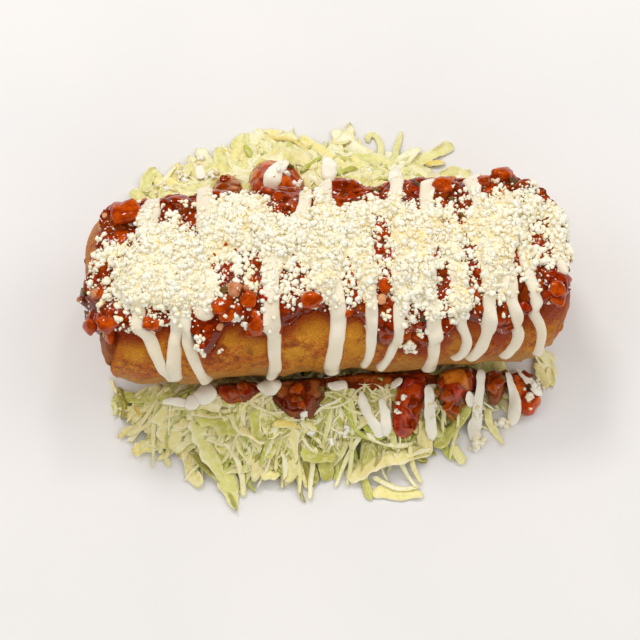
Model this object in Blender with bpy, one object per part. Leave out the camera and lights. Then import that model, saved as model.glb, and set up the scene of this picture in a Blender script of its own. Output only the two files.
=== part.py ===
# A chimichanga: a deep-fried tortilla roll on shredded lettuce, under chunky salsa, ribbons
# of crema and crumbled cheese. Every size is in millimetres and every angle in degrees;
# finish() scales the points to metres. +X runs along the roll, +Y to its back, +Z up, and
# the origin is on the flat underside of the lettuce, below the middle of the roll.
#
# A place on the roll is (along, around): "along" is the distance in mm from the middle,
# measured over the top and down onto the end; "around" is 0 at the back, 90 at the top,
# 180 at the front and 270 underneath. "Lift" is the height in mm over the smooth roll.

import bmesh
import bpy
import numpy as np

MM = 0.001
SEED = 41

# The roll: a superellipse section that tapers to the right and rounds off at both ends.
ROLL_HALF_LENGTH = 97.0
ROLL_MIDDLE_X = -1.0
ROLL_HALF_WIDTH = 36.5
ROLL_HALF_HEIGHT = 29.0
WIDTH_TAPER = 1.4
HEIGHT_TAPER = 0.5
ROLL_MIDDLE_Y = -1.5
ROLL_MIDDLE_Z = 38.5
SECTION_POWER = 2.35
END_POWER = 16.0
END_ROUNDING = 2.2
ROLL_AROUND = 32
ROLL_RINGS = 38
# The wrap's left edge as (around, along), its step and the mm over which it falls, and where
# around the roll it comes and goes.
WRAP_EDGE = ((112, -79), (185, -89))
WRAP_STEP = 2.6
WRAP_FALL = (1.5, 5.5)
WRAP_SHOWS = (92, 112)
WRAP_ENDS = (226, 250)
# The seam low on the front, and where the step under it fades out below the roll.
SEAM_AROUND = 201.0
SEAM_STEP = 2.0
SEAM_FALL = 8.0
SEAM_ENDS = (232, 262)
# The lower front is pressed flat on the left: how deep, and where along and around it fades.
PRESS_DEPTH = 2.4
PRESS_ALONG = (-10, 32)
PRESS_AROUND = ((150, 190), (215, 250))
# Creases of the tucked ends: their depth and the mm along over which they grow.
CREASE_DEPTH = 1.1
CREASE_GROWS = (99, 111)
ROLL_WAVES = ((1.9, 3.1, 0.2, 0.5), (4.3, 2.2, 1.7, 0.35), (3.1, 5.3, 4.0, 0.3))

# The salsa: (along, around) of its lower front edge and of its upper back edge.
SALSA_FRONT = (
    (-108, 150), (-97, 140), (-86, 125), (-65, 124), (-55, 121), (-47, 143), (-42, 128),
    (-29, 127), (-13, 121), (2, 121), (14, 132), (21, 152), (31, 175), (40, 160), (47, 140),
    (56, 137), (63, 160), (74, 142), (86, 142), (97, 132),
)
SALSA_BACK = (
    (-108, 106), (-99, 97), (-93, 74), (-82, 34), (-60, 20), (-20, 14), (30, 16), (74, 20),
    (86, 46), (97, 72),
)
SALSA_START = -108
SALSA_END = 97
SALSA_COLUMNS = 36
SALSA_ROWS = 11
SALSA_THICK = 1.6
SALSA_RIM = 1.2
SALSA_FADE = 7.0
SALSA_LUMPS = 90
SALSA_LUMP_RADIUS = (4.5, 8.5)
SALSA_LUMP_HEIGHT = (0.8, 2.4)
LUMP_SPACING = 7.5
LUMPS_AROUND = (14, 172)
# Share of the lumps drawn that may stand closer than the spacing.
CLOSER = 0.02
# The biggest lumps that show: along, around, radius, height.
BIG_LUMPS = (
    (-76, 50, 6.5, 3.6), (-84, 114, 8.0, 3.0), (-95, 122, 8.0, 2.6), (-36, 104, 8.0, 3.4),
    (-29, 122, 6.0, 3.6), (-8, 111, 6.0, 3.8), (8, 30, 8.0, 3.2), (27, 38, 7.0, 2.6),
    (45, 44, 8.0, 2.6), (61, 42, 6.5, 3.0), (68, 32, 7.0, 3.6), (20, 96, 7.0, 2.6),
    (70, 108, 8.0, 2.4), (84, 118, 8.0, 2.6), (41, 118, 7.0, 2.2),
)
GAP = 0.5
SHORTEST_EDGE = 0.2
# Arc on the roll, in mm for one degree around, where rows of points are spaced or measured.
ARC_PER_DEGREE = 0.57

# The crema ribbons that leave the cheese: points (along, around) and half width.
RIBBONS = (
    (((-72, 96), (-73, 118), (-68, 136), (-66, 158), (-65, 176)), 2.3),
    (((-56, 112), (-59, 132), (-62, 152), (-65, 174)), 2.2),
    (((-54, 104), (-57, 130), (-54, 150), (-53, 178)), 2.2),
    (((-47, 94), (-48, 117)), 3.3),
    (((-23, 84), (-23, 114), (-24, 142), (-25, 162), (-28, 190)), 2.9),
    (((2, 90), (1, 120), (-1, 148), (-2, 168), (-1, 190)), 3.1),
    (((14, 96), (14, 132), (13, 162), (12, 174)), 2.2),
    (((26, 94), (24, 128), (22, 156), (19, 180)), 2.3),
    (((36, 100), (37, 130), (37, 160), (37, 188)), 2.8),
    (((47, 96), (50, 130), (51, 158), (49, 174)), 2.1),
    (((60, 88), (59, 130), (58, 156), (56, 176)), 2.2),
    (((67, 84), (71, 124), (71, 150), (67, 176)), 2.1),
    (((74, 78), (78, 108), (80, 136), (78, 174)), 2.1),
    (((88, 72), (91, 86), (92, 104)), 1.4),
    (((-66, 34), (-67, 66)), 3.1),
    (((-45, 22), (-46, 70)), 2.9),
    (((-7, 38), (-9, 72)), 2.4),
    (((0, 18), (0, 62)), 2.6),
    (((28, 22), (26, 60)), 2.4),
    (((40, 38), (39, 74)), 2.4),
    (((56, 36), (59, 74)), 2.6),
)
RIBBON_CROWN = 2.2
RIBBON_SHOULDER = 0.8
RIBBON_STEP = 9.0
# A ribbon's ends as a share of its width, and the lift of its underside.
RIBBON_TIP = 0.6
RIBBON_FOOT = 0.8

# The crumbled cheese: (along, around) of its front and back edge.
CHEESE_FRONT = (
    (-95, 92), (-85, 97), (-75, 109), (-62, 113), (-50, 109), (-35, 97), (-17, 101),
    (-2, 109), (5, 102), (13, 115), (19, 101), (27, 121), (42, 118), (48, 127), (55, 116),
    (64, 114), (70, 98), (79, 99), (90, 94),
)
CHEESE_BACK = (
    (-95, 78), (-80, 74), (-68, 60), (-57, 56), (-48, 67), (-38, 46), (-28, 38), (-14, 66),
    (-3, 48), (6, 60), (20, 52), (34, 63), (48, 67), (58, 62), (68, 58), (80, 74), (90, 86),
)
CHEESE_START = -93
CHEESE_END = 90
CHEESE_COLUMNS = 36
CHEESE_ROWS = 8
CHEESE_RIM = 1.1
CHEESE_THICK = 1.2
CHEESE_FADE = 6.0
CHEESE_SPAN = 30.0
CHEESE_BUMP = 1.8
SPREAD_TURN = 0.618034
CRUMBS = 27
CRUMB_RADIUS = (1.8, 2.8)

# The lettuce: its core's outline as (angle seen from above, distance), the strips on it.
BED_OUTLINE = (
    (0, 78), (20, 76), (36, 78), (48, 85), (56, 78), (71, 74), (85, 78), (97, 84), (106, 78),
    (128, 80), (140, 88), (150, 84), (165, 78), (180, 76), (190, 80), (198, 88), (206, 92),
    (218, 89), (227, 81), (242, 82), (250, 76), (259, 71), (269, 68), (281, 75), (291, 80),
    (303, 72), (312, 80), (322, 86), (332, 88), (342, 90), (352, 84),
)
BED_HALF_LENGTH = 94.0
BED_HEIGHT = 20.0
BED_RIM = 2.6
BED_RIPPLE = 0.9
BED_SLOPE = 26.0
BED_SPOKES = 44
BED_RINGS = (0.2, 0.35, 0.47, 0.57, 0.66, 0.75, 0.83, 0.91, 1.0)
CRADLE_GAP = 1.5
# Room kept beside and below the roll's smooth form for its own relief.
ROLL_ROOM = (1.2, 0.6)
STRIPS = 38
STRIP_TRIES = 1200
STRIP_WIDTH = (3.4, 5.2)
STRIP_LENGTH = (24.0, 42.0)
STRIP_THICK = 1.2
STRIP_SEGMENTS = 4
STRIP_WAVE = 1.6
STRIP_TURN = 70
STRIP_BEND = 1.3
STRIP_SPACING = 4.2
STRIP_REACH = 1.15
FLOOR_CLEAR = 0.5

# Salsa that fell on the lettuce: height, and its outline seen from above as x, y in turn.
# The foot is the share of the height at which a piece is widest.
FALLEN_FOOT = 0.18
FALLEN_SWELL = (0.86, 1.0)
FALLEN_CLEAR = 1.0
FALLEN_SALSA = (
    (6.5, (-49.5, -35.5, -48, -40, -44, -43, -39, -44, -34.5, -42.5, -31.5, -39, -30.5, -35.5, -35, -35.5,
           -40, -35.5, -45, -35.5)),
    (9.5, (-28, -35.5, -27.5, -40, -26, -44, -24, -48, -19, -51, -14, -52.5, -10, -51, -7, -47, -4, -42,
           -2.5, -37, -4, -35.5, -10, -35.5, -16, -35.5, -22, -35.5)),
    (8.0, (27, -36.5, 25, -43, 23.5, -48, 22.5, -53, 22, -59, 24, -60.5, 27, -60.5, 30.5, -58, 33, -55,
           34, -51, 35, -47, 36.5, -43, 38, -38, 33, -36)),
    (8.0, (43, -36, 41, -41, 41, -46, 42, -49, 45, -51, 46, -54, 48, -54, 51, -50.5, 54, -47, 56, -44,
           57.5, -39, 57.5, -36, 50, -35.5)),
    (6.5, (62.5, -35.5, 62.5, -39, 63, -43, 64, -46.5, 66, -48.5, 69, -46, 71, -42, 71.5, -38, 71.5, -35.5,
           67, -35.5)),
    (6.5, (74, -35.5, 73.5, -40, 73.5, -45, 74.5, -50, 78, -53, 81, -53, 83.5, -50, 86, -46, 85, -43,
           82, -39, 79.5, -36)),
    (9.0, (-46, 56, -45, 61, -42, 64, -38, 63, -35, 61, -33.5, 56, -33, 52, -34, 45, -39, 43,
           -45, 46, -47, 51)),
    (11.0, (-29.5, 53, -29.5, 62, -26, 65, -25, 68, -21, 68, -16, 65, -12, 62, -10, 57, -8, 53, -6, 46,
            -12, 42, -20, 42, -28, 43, -29.5, 47)),
)
# Crema that ran on over the lettuce: points (x, y) and half width.
LETTUCE_CREMA_STEP = 7.0
LETTUCE_CREMA_SUNK = 1.0
LETTUCE_CREMA = (
    (((-56, -37), (-58, -42)), 4.5), (((-60, -42), (-71, -40)), 2.4),
    (((10, -44), (13, -54), (18, -61)), 2.3), (((17.5, -46), (18, -61)), 2.0),
    (((38, -47), (38, -53), (39, -61)), 2.3), (((60, -38), (59.5, -46), (57.5, -60)), 1.9),
    (((56.5, -51), (58, -62)), 2.8), (((70.5, -51), (68.5, -57)), 2.4),
    (((87, -34), (88.5, -40), (90, -46)), 2.2),
)


def profile(along):
    """Share of the half length and of the half width at a distance over the top."""
    share = np.concatenate([np.linspace(0, 0.6, 60), 1 - 0.4 * np.linspace(1, 0, 900) ** 2])
    width = (1 - share**END_POWER) ** (1 / END_ROUNDING)
    mean_radius = 0.5 * (ROLL_HALF_WIDTH + ROLL_HALF_HEIGHT)
    steps = np.hypot(np.diff(share) * ROLL_HALF_LENGTH, np.diff(width) * mean_radius)
    distance = np.concatenate([[0], np.cumsum(steps)])
    away = np.abs(along)
    return np.sign(along) * np.interp(away, distance, share), np.interp(away, distance, width)


def roll_point(along, around, lift):
    """The point in space at a place on the roll, lifted outward."""
    share, width = profile(along - ROLL_MIDDLE_X)
    half_width = ROLL_HALF_WIDTH - WIDTH_TAPER * share
    half_height = ROLL_HALF_HEIGHT - HEIGHT_TAPER * share
    cosine = np.cos(np.radians(around))
    sine = np.sin(np.radians(around))
    side = np.sign(cosine) * np.abs(cosine) ** (2 / SECTION_POWER)
    rise = np.sign(sine) * np.abs(sine) ** (2 / SECTION_POWER)
    x = ROLL_MIDDLE_X + share * (ROLL_HALF_LENGTH + lift)
    y = ROLL_MIDDLE_Y + side * (half_width + lift) * width
    z = ROLL_MIDDLE_Z + rise * (half_height + lift) * width
    return np.stack(np.broadcast_arrays(x, y, z), -1)


def smooth_step(value, start, end):
    share = np.clip((value - start) / (end - start), 0, 1)
    return share * share * (3 - 2 * share)


def roll_relief(along, around):
    """Lift of the tortilla itself: soft waves, the wrap's left edge, the seam and the flat front."""
    waves = sum(
        size * np.sin(along / 13.0 * per_x + np.radians(around) * round(per_turn) + start)
        for per_x, per_turn, start, size in ROLL_WAVES
    )
    first, last = WRAP_EDGE
    edge = np.interp(around, (first[0], last[0]), (first[1], last[1]))
    beyond = smooth_step(-along, WRAP_FALL[0] - edge, WRAP_FALL[1] - edge)
    at_front = smooth_step(around, *WRAP_SHOWS) * (1 - smooth_step(around, *WRAP_ENDS))
    below = smooth_step(around, SEAM_AROUND, SEAM_AROUND + SEAM_FALL)
    below = below * (1 - smooth_step(around, *SEAM_ENDS))
    end = smooth_step(np.abs(along - ROLL_MIDDLE_X), *CREASE_GROWS)
    creases = -CREASE_DEPTH * end * np.abs(np.sin(np.radians(around) * 2.5 + 0.6))
    press = smooth_step(around, *PRESS_AROUND[0]) * (1 - smooth_step(around, *PRESS_AROUND[1]))
    press = PRESS_DEPTH * press * (1 - smooth_step(along, *PRESS_ALONG))
    return (waves - SEAM_STEP * below - press) * (1 - end) - WRAP_STEP * beyond * at_front + creases


def relief_nearby(along, around):
    """Highest relief within a facet of a place, which covers must clear."""
    steps = ((0, 0), (3, 0), (-3, 0), (0, 6), (0, -6))
    return np.max([roll_relief(along + dx, around + da) for dx, da in steps], axis=0)


def lump_field(along, around, lumps):
    """Highest lump at each place: a dome on its own circle."""
    field = np.zeros(np.broadcast(along, around).shape)
    arc = np.radians(1) * 0.5 * (ROLL_HALF_WIDTH + ROLL_HALF_HEIGHT)
    for lump_along, lump_around, radius, height in lumps:
        away = np.hypot(along - lump_along, (around - lump_around) * arc) / radius
        field = np.maximum(field, height * np.clip(1 - away**2, 0, 1) ** 0.8)
    return field


def seeded_lumps():
    """The named lumps and smaller ones spread evenly over the salsa."""
    draw = np.random.default_rng(SEED)
    lumps = list(BIG_LUMPS)
    while len(lumps) < SALSA_LUMPS:
        along, around = draw.uniform(SALSA_START, SALSA_END), draw.uniform(*LUMPS_AROUND)
        size = (draw.uniform(*SALSA_LUMP_RADIUS), draw.uniform(*SALSA_LUMP_HEIGHT))
        away = [np.hypot(along - lump[0], ARC_PER_DEGREE * (around - lump[1])) for lump in lumps]
        if min(away) > LUMP_SPACING or draw.uniform() < CLOSER:
            lumps.append((along, around) + size)
    return lumps


LUMPS = seeded_lumps()


def edges_at(along, front, back):
    """Around-angles of a cover's front and back edge."""
    return np.interp(along, *np.array(front).T), np.interp(along, *np.array(back).T)


def salsa_lift(along, around):
    """Lift of the salsa's outer face, down to the bare tortilla past its edges."""
    front, back = edges_at(along, SALSA_FRONT, SALSA_BACK)
    inside = np.minimum(front - around, around - back) * ARC_PER_DEGREE
    ends = np.minimum(along - SALSA_START, SALSA_END - along)
    full = smooth_step(np.minimum(inside, ends), 0, SALSA_FADE)
    body = SALSA_THICK + lump_field(along, around, LUMPS)
    return np.where(np.minimum(inside, ends) >= -0.01, SALSA_RIM + full * body, 0)


def line_points(points, step, stretch=(1, ARC_PER_DEGREE)):
    """Points along a smooth line through the given ones, about one step apart."""
    points = np.array(points, float)
    chord = np.hypot(*(np.diff(points, axis=0) * stretch).T)
    at = np.concatenate([[0], np.cumsum(chord)])
    count = max(2, int(round(at[-1] / step)) + 1)
    where = np.linspace(0, at[-1], count)
    line = np.stack([np.interp(where, at, points[:, k]) for k in (0, 1)], -1)
    line[1:-1] = 0.5 * line[1:-1] + 0.25 * (line[:-2] + line[2:])
    return line


def slab(columns, rows):
    """A closed flat block with u and v from 0 to 1 and its two faces at 0 and 1."""
    mesh = bmesh.new()
    bmesh.ops.create_grid(mesh, x_segments=columns, y_segments=rows, size=0.5)
    raised = bmesh.ops.extrude_face_region(mesh, geom=mesh.faces[:])["geom"]
    for element in raised:
        if isinstance(element, bmesh.types.BMVert):
            element.co.z = 1
    bmesh.ops.translate(mesh, vec=(0.5, 0.5, 0), verts=mesh.verts)
    return mesh


def reshape(mesh, rule):
    """Move every point to where the rule puts its coordinates."""
    mesh.verts.ensure_lookup_table()
    points = rule(*np.array([vert.co for vert in mesh.verts]).T)
    for vert, point in zip(mesh.verts, points):
        vert.co = point
    return mesh


def finish(name, mesh, collection, material=None):
    """Scale to metres, split into triangles and make the object."""
    bmesh.ops.scale(mesh, vec=(MM, MM, MM), verts=mesh.verts)
    bmesh.ops.triangulate(mesh, faces=mesh.faces[:])
    bmesh.ops.recalc_face_normals(mesh, faces=mesh.faces[:])
    data = bpy.data.meshes.new(name)
    mesh.to_mesh(data)
    mesh.free()
    data.shade_smooth()
    piece = bpy.data.objects.new(name, data)
    collection.objects.link(piece)
    if material:
        data.materials.append(material)
    return piece


def largest_body(data):
    """Drop every scrap that the joined mesh doesn't hold."""
    mesh = bmesh.new()
    mesh.from_mesh(data)
    left = set(mesh.verts)
    bodies = []
    while left:
        body = {left.pop()}
        edge_of = list(body)
        while edge_of:
            for edge in edge_of.pop().link_edges:
                for vert in edge.verts:
                    if vert in left:
                        left.remove(vert)
                        body.add(vert)
                        edge_of.append(vert)
        bodies.append(body)
    bodies.sort(key=len)
    scrap = [vert for body in bodies[:-1] for vert in body]
    bmesh.ops.delete(mesh, geom=scrap, context="VERTS")
    mesh.to_mesh(data)
    mesh.free()


def close_slivers(data, shortest):
    """Close the edges that the union left shorter than this."""
    mesh = bmesh.new()
    mesh.from_mesh(data)
    bmesh.ops.remove_doubles(mesh, verts=mesh.verts, dist=shortest * MM)
    bmesh.ops.dissolve_degenerate(mesh, dist=0.5 * shortest * MM, edges=mesh.edges)
    mesh.to_mesh(data)
    mesh.free()


def join(piece, extras, shortest=0):
    """Fuse the extras' collection to the piece with one Boolean union, and apply it."""
    union = piece.modifiers.new("join", "BOOLEAN")
    union.operation = "UNION"
    union.operand_type = "COLLECTION"
    union.collection = extras
    union.solver = "EXACT"
    bpy.context.view_layer.update()
    seen = piece.evaluated_get(bpy.context.evaluated_depsgraph_get())
    joined = bpy.data.meshes.new_from_object(seen)
    piece.modifiers.clear()
    piece.data = joined
    for extra in list(extras.objects):
        bpy.data.objects.remove(extra)
    bpy.data.collections.remove(extras)
    largest_body(joined)
    if shortest:
        close_slivers(joined, shortest)


def new_collection(name):
    collection = bpy.data.collections.new(name)
    bpy.context.scene.collection.children.link(collection)
    return collection


def new_material(name, colour, roughness):
    material = bpy.data.materials.new(name)
    material.use_nodes = True
    shader = material.node_tree.nodes["Principled BSDF"]
    shader.inputs["Base Color"].default_value = (*colour, 1)
    shader.inputs["Roughness"].default_value = roughness
    shader.inputs["Metallic"].default_value = 0
    return material


def build_roll(parts):
    mesh = bmesh.new()
    bmesh.ops.create_uvsphere(mesh, u_segments=ROLL_AROUND, v_segments=ROLL_RINGS, radius=1)
    pole = full_distance()

    def rule(x, y, z):
        along = ROLL_MIDDLE_X + np.arcsin(np.clip(z, -1, 1)) / (np.pi / 2) * pole
        around = np.degrees(np.arctan2(y, x)) % 360
        relief = np.where(np.abs(z) > 0.9999, 0, roll_relief(along, around))
        return roll_point(along, around, relief)

    tan = new_material("fried_tortilla", (0.56, 0.28, 0.09), 0.5)
    finish("fried_tortilla_roll", reshape(mesh, rule), parts, tan)


def full_distance():
    """Distance over the top from the middle of the roll to the middle of its end."""
    far = np.linspace(ROLL_HALF_LENGTH, ROLL_HALF_LENGTH + ROLL_HALF_WIDTH, 400)
    return float(far[np.argmax(profile(far)[1] < 1e-6)])


def build_salsa(parts):
    def cover(u, v, w):
        along = SALSA_START + (SALSA_END - SALSA_START) * u
        front, back = edges_at(along, SALSA_FRONT, SALSA_BACK)
        around = back + (front - back) * v
        relief = relief_nearby(along, around)
        return roll_point(along, around, relief + np.where(w > 0.5, salsa_lift(along, around), GAP))

    red = new_material("salsa_and_crema", (0.45, 0.08, 0.03), 0.25)
    salsa = finish("salsa_and_crema", reshape(slab(SALSA_COLUMNS, SALSA_ROWS), cover), parts, red)
    ribbons = new_collection("crema_ribbons")
    for points, half_width in RIBBONS:
        build_ribbon(points, half_width, ribbons)
    join(salsa, ribbons, SHORTEST_EDGE)


def ribbon_axes(points):
    """A ribbon's line and its sideways direction, in mm along and degrees around."""
    line = line_points(points, RIBBON_STEP)
    ahead = np.gradient(line, axis=0) * (1, ARC_PER_DEGREE)
    ahead /= np.linalg.norm(ahead, axis=1)[:, None]
    sideways = np.stack([-ahead[:, 1], ahead[:, 0] / ARC_PER_DEGREE], -1)
    return line, sideways


def build_ribbon(points, half_width, collection):
    line, sideways = ribbon_axes(points)
    count = len(line)

    def rule(u, v, w):
        step = np.rint(u * (count - 1)).astype(int)
        across = (2 * v - 1) * half_width * np.where((step == 0) | (step == count - 1), RIBBON_TIP, 1)
        place = line[step] + sideways[step] * across[:, None]
        along, around = place.T
        crown = np.where(np.abs(v - 0.5) < 0.1, RIBBON_CROWN, RIBBON_SHOULDER)
        outer = np.maximum(salsa_lift(along, around), GAP) + crown
        relief = relief_nearby(along, around)
        return roll_point(along, around, relief + np.where(w > 0.5, outer, RIBBON_FOOT))

    finish("crema_ribbon", reshape(slab(count - 1, 2), rule), collection)


def ribbon_lift(along, around):
    """Highest ribbon at each place, over the salsa."""
    field = np.zeros(np.shape(along))
    for points, half_width in RIBBONS:
        for place in line_points(points, 3.0):
            away = np.hypot(along - place[0], ARC_PER_DEGREE * (around - place[1]))
            field = np.maximum(field, np.where(away < half_width + 1.5, RIBBON_CROWN, 0))
    return field


def cheese_floor(along, around):
    """Lift that clears the salsa and ribbons all round a place."""
    steps = ((0, 0), (3, 0), (-3, 0), (0, 5), (0, -5), (2, 3), (2, -3), (-2, 3), (-2, -3))
    lifts = [
        relief_nearby(along + dx, around + da)
        + np.maximum(salsa_lift(along + dx, around + da), GAP)
        + ribbon_lift(along + dx, around + da)
        for dx, da in steps
    ]
    return np.max(lifts, axis=0) + GAP


def cheese_bump(along, around):
    ripple = np.sin(along * 0.93 + 1.3 * np.sin(around * 0.21)) * np.sin(around * 0.37 + along * 0.11)
    return 0.5 * CHEESE_BUMP * (1 + ripple)


def build_cheese(parts):
    draw = np.random.default_rng(SEED + 1)

    def place(u, v):
        along = CHEESE_START + (CHEESE_END - CHEESE_START) * u
        front, back = edges_at(along, CHEESE_FRONT, CHEESE_BACK)
        return along, back + (front - back) * v

    def rule(u, v, w):
        along, around = place(u, v)
        from_ends = np.minimum(u, 1 - u) * (CHEESE_END - CHEESE_START)
        from_sides = np.minimum(v, 1 - v) * CHEESE_SPAN
        edge = smooth_step(np.minimum(from_ends, from_sides), 0, CHEESE_FADE)
        thick = CHEESE_RIM + edge * (CHEESE_THICK + cheese_bump(along, around))
        return roll_point(along, around, cheese_floor(along, around) + np.where(w > 0.5, thick, 0))

    cream = new_material("crumbled_cheese", (0.86, 0.8, 0.62), 0.75)
    sheet = reshape(slab(CHEESE_COLUMNS, CHEESE_ROWS), rule)
    cheese = finish("crumbled_cheese", sheet, parts, cream)
    crumbs = new_collection("cheese_crumbs")
    for index in range(CRUMBS):
        u = (index + draw.uniform(0.2, 0.8)) / CRUMBS
        v = (index * SPREAD_TURN + 0.3) % 1 * 0.8 + 0.1
        along, around = place(np.array([u * 0.96 + 0.02]), np.array([v]))
        radius = draw.uniform(*CRUMB_RADIUS)
        lift = cheese_floor(along, around) + CHEESE_THICK + cheese_bump(along, around) + 0.35 * radius
        build_crumb(roll_point(along, around, lift)[0], radius, draw, crumbs)
    join(cheese, crumbs, SHORTEST_EDGE)


def build_crumb(middle, radius, draw, collection):
    mesh = bmesh.new()
    bmesh.ops.create_icosphere(mesh, subdivisions=1, radius=radius)
    for vert in mesh.verts:
        vert.co *= draw.uniform(0.8, 1.15)
    bmesh.ops.translate(mesh, vec=middle, verts=mesh.verts)
    finish("cheese_crumb", mesh, collection)


def bed_reach(x, y):
    """Share of the way from the middle to the core's outline."""
    angle = np.degrees(np.arctan2(y, x)) % 360
    reach = np.interp(angle, *np.array(BED_OUTLINE).T, period=360)
    return np.hypot(x, y) / reach, reach


def roll_underside(x, y):
    """Height of the roll's lower face, or a large height clear of it."""
    share = np.clip(np.abs(x - ROLL_MIDDLE_X) / ROLL_HALF_LENGTH, 0, 1)
    width = (1 - share**END_POWER) ** (1 / END_ROUNDING)
    side = np.abs(y - ROLL_MIDDLE_Y) / np.maximum((ROLL_HALF_WIDTH + ROLL_ROOM[0]) * width, 1e-3)
    depth = (1 - np.clip(side, 0, 1) ** SECTION_POWER) ** (1 / SECTION_POWER)
    return np.where(side < 1, ROLL_MIDDLE_Z - (ROLL_HALF_HEIGHT + ROLL_ROOM[1]) * width * depth, 99)


def bed_top(x, y):
    """Height of the lettuce core's upper face."""
    share, reach = bed_reach(x, y)
    inward = (1 - share) * reach
    heap = BED_RIM + (BED_HEIGHT - BED_RIM) * smooth_step(inward, 0, BED_SLOPE)
    ripple = BED_RIPPLE * np.sin(x * 0.31 + 0.9 * np.sin(y * 0.17)) * np.sin(y * 0.27 + 0.6)
    heap = heap + ripple * smooth_step(inward, 2, 12)
    return np.minimum(heap, roll_underside(x, y) - CRADLE_GAP)


def build_bed_core(parts, material):
    """Rings and spokes: a domed, flat-bottomed core."""
    mesh = bmesh.new()
    bmesh.ops.create_circle(mesh, cap_ends=True, cap_tris=True, segments=BED_SPOKES, radius=BED_RINGS[0])
    for ring in BED_RINGS[1:]:
        rim = [edge for edge in mesh.edges if edge.is_boundary]
        grown = bmesh.ops.extrude_edge_only(mesh, edges=rim)["geom"]
        for vert in (item for item in grown if isinstance(item, bmesh.types.BMVert)):
            vert.co *= ring / vert.co.length
    rim = [edge for edge in mesh.edges if edge.is_boundary]
    wall = bmesh.ops.extrude_edge_only(mesh, edges=rim)["geom"]
    for vert in (item for item in wall if isinstance(item, bmesh.types.BMVert)):
        vert.co.z = -1
    base = [edge for edge in wall if isinstance(edge, bmesh.types.BMEdge) and edge.is_boundary]
    bmesh.ops.contextual_create(mesh, geom=base)

    def rule(x, y, z):
        reach = bed_reach(x, y)[1]
        wide_x = x * reach
        wide_y = y * reach
        return np.stack([wide_x, wide_y, np.where(z < -0.5, 0, bed_top(wide_x, wide_y))], -1)

    return finish("lettuce_bed", reshape(mesh, rule), parts, material)


def outline_reach(outline, angle):
    """Middle of an outline, and its distance from there in the given directions."""
    corners = np.array(outline, float).reshape(-1, 2)
    middle = corners.mean(axis=0)
    away = corners - middle
    corner_angle = np.arctan2(away[:, 1], away[:, 0]) % (2 * np.pi)
    order = np.argsort(corner_angle)
    far = np.hypot(*away.T)[order]
    return middle, np.interp(angle, corner_angle[order], far, period=2 * np.pi)


def clear_of_salsa(x, y, room):
    """Whether points keep this room from every fallen piece of salsa."""
    clear = np.ones(np.shape(x), bool)
    for _, outline in FALLEN_SALSA:
        middle = outline_reach(outline, 0)[0]
        angle = np.arctan2(y - middle[1], x - middle[0])
        reach = outline_reach(outline, angle)[1]
        clear &= np.hypot(x - middle[0], y - middle[1]) > reach + room
    return clear


def clear_of_roll(line, sideways, half_width, top):
    """Whether a strip stays below the roll along its middle and both its edges."""
    below = [
        roll_underside(*(line + side * half_width * sideways).T) > top + CRADLE_GAP
        for side in (-1, 0, 1)
    ]
    return np.all(below)


def strip_course(angle, length, draw):
    """A bending line that starts on the core and heads more or less outward."""
    reach = np.interp(angle, *np.array(BED_OUTLINE).T, period=360)
    outward = np.array([np.cos(np.radians(angle)), np.sin(np.radians(angle))])
    start = outward * (reach - length * draw.uniform(0.3, 0.8))
    heading = np.radians(angle + draw.uniform(-STRIP_TURN, STRIP_TURN))
    share = np.linspace(0, 1, STRIP_SEGMENTS + 1)
    course = heading + draw.uniform(-STRIP_BEND, STRIP_BEND) * (share - 0.3)
    steps = np.stack([np.cos(course), np.sin(course)], -1) * length / STRIP_SEGMENTS
    line = start + np.concatenate([[[0, 0]], np.cumsum(steps[:-1], axis=0)])
    return line, np.stack([-np.sin(course), np.cos(course)], -1), share


def strip_height(line, share, wave):
    """Height of a strip's lower face: sunk in the core where it starts, then wavy."""
    ground = np.where(bed_reach(*line.T)[0] < 1, bed_top(*line.T), FLOOR_CLEAR)
    rise = STRIP_WAVE * (0.5 + 0.5 * np.sin(share * 6 + wave)) * np.minimum(1, 3 * share)
    sunk = np.where(share < 0.1, -STRIP_THICK - 0.4, 0.8)
    return np.maximum(ground + sunk + rise, FLOOR_CLEAR)


def build_strips(collection):
    """Shreds that lie on the core and reach out past its edge, the longest first."""
    draw = np.random.default_rng(SEED + 2)
    laid = []
    for turn in range(STRIP_TRIES):
        angle = 360 * (turn * SPREAD_TURN % 1)
        size = max(0, 1 - len(laid) / STRIPS)
        length = STRIP_LENGTH[0] + (STRIP_LENGTH[1] - STRIP_LENGTH[0]) * size
        half_width = 0.5 * draw.uniform(*STRIP_WIDTH)
        wave = draw.uniform(0, 2 * np.pi)
        line, sideways, share = strip_course(angle, length, draw)
        height = strip_height(line, share, wave)
        reaches = bed_reach(*line.T)[0]
        fits = clear_of_roll(line, sideways, half_width + 1, height + STRIP_THICK + 1)
        fits = fits and clear_of_salsa(*line.T, half_width + 1.5).all()
        fits = fits and reaches[0] < 0.96 and 0.86 < reaches[-1] < STRIP_REACH
        fits = fits and np.abs(line[:, 0]).max() < BED_HALF_LENGTH
        crosses = any(np.hypot(*(line[:, None] - other).T).min() < STRIP_SPACING for other in laid)
        if len(laid) < STRIPS and fits and not crosses:
            build_strip(line, sideways, half_width, share, height, wave, collection)
            laid.append(line)


def build_strip(line, sideways, half_width, share, height, wave, collection):
    count = len(line)

    def rule(u, v, w):
        step = np.rint(u * (count - 1)).astype(int)
        across = (2 * v - 1) * half_width * (1 - 0.45 * share[step] ** 3)
        flat = line[step] + sideways[step] * across[:, None]
        tilt = 0.25 * across * np.sin(wave + 4 * share[step])
        z = np.maximum(height[step] + tilt, FLOOR_CLEAR) + w * STRIP_THICK
        return np.column_stack([flat, z])

    finish("lettuce_strip", reshape(slab(count - 1, 1), rule), collection)


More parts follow.
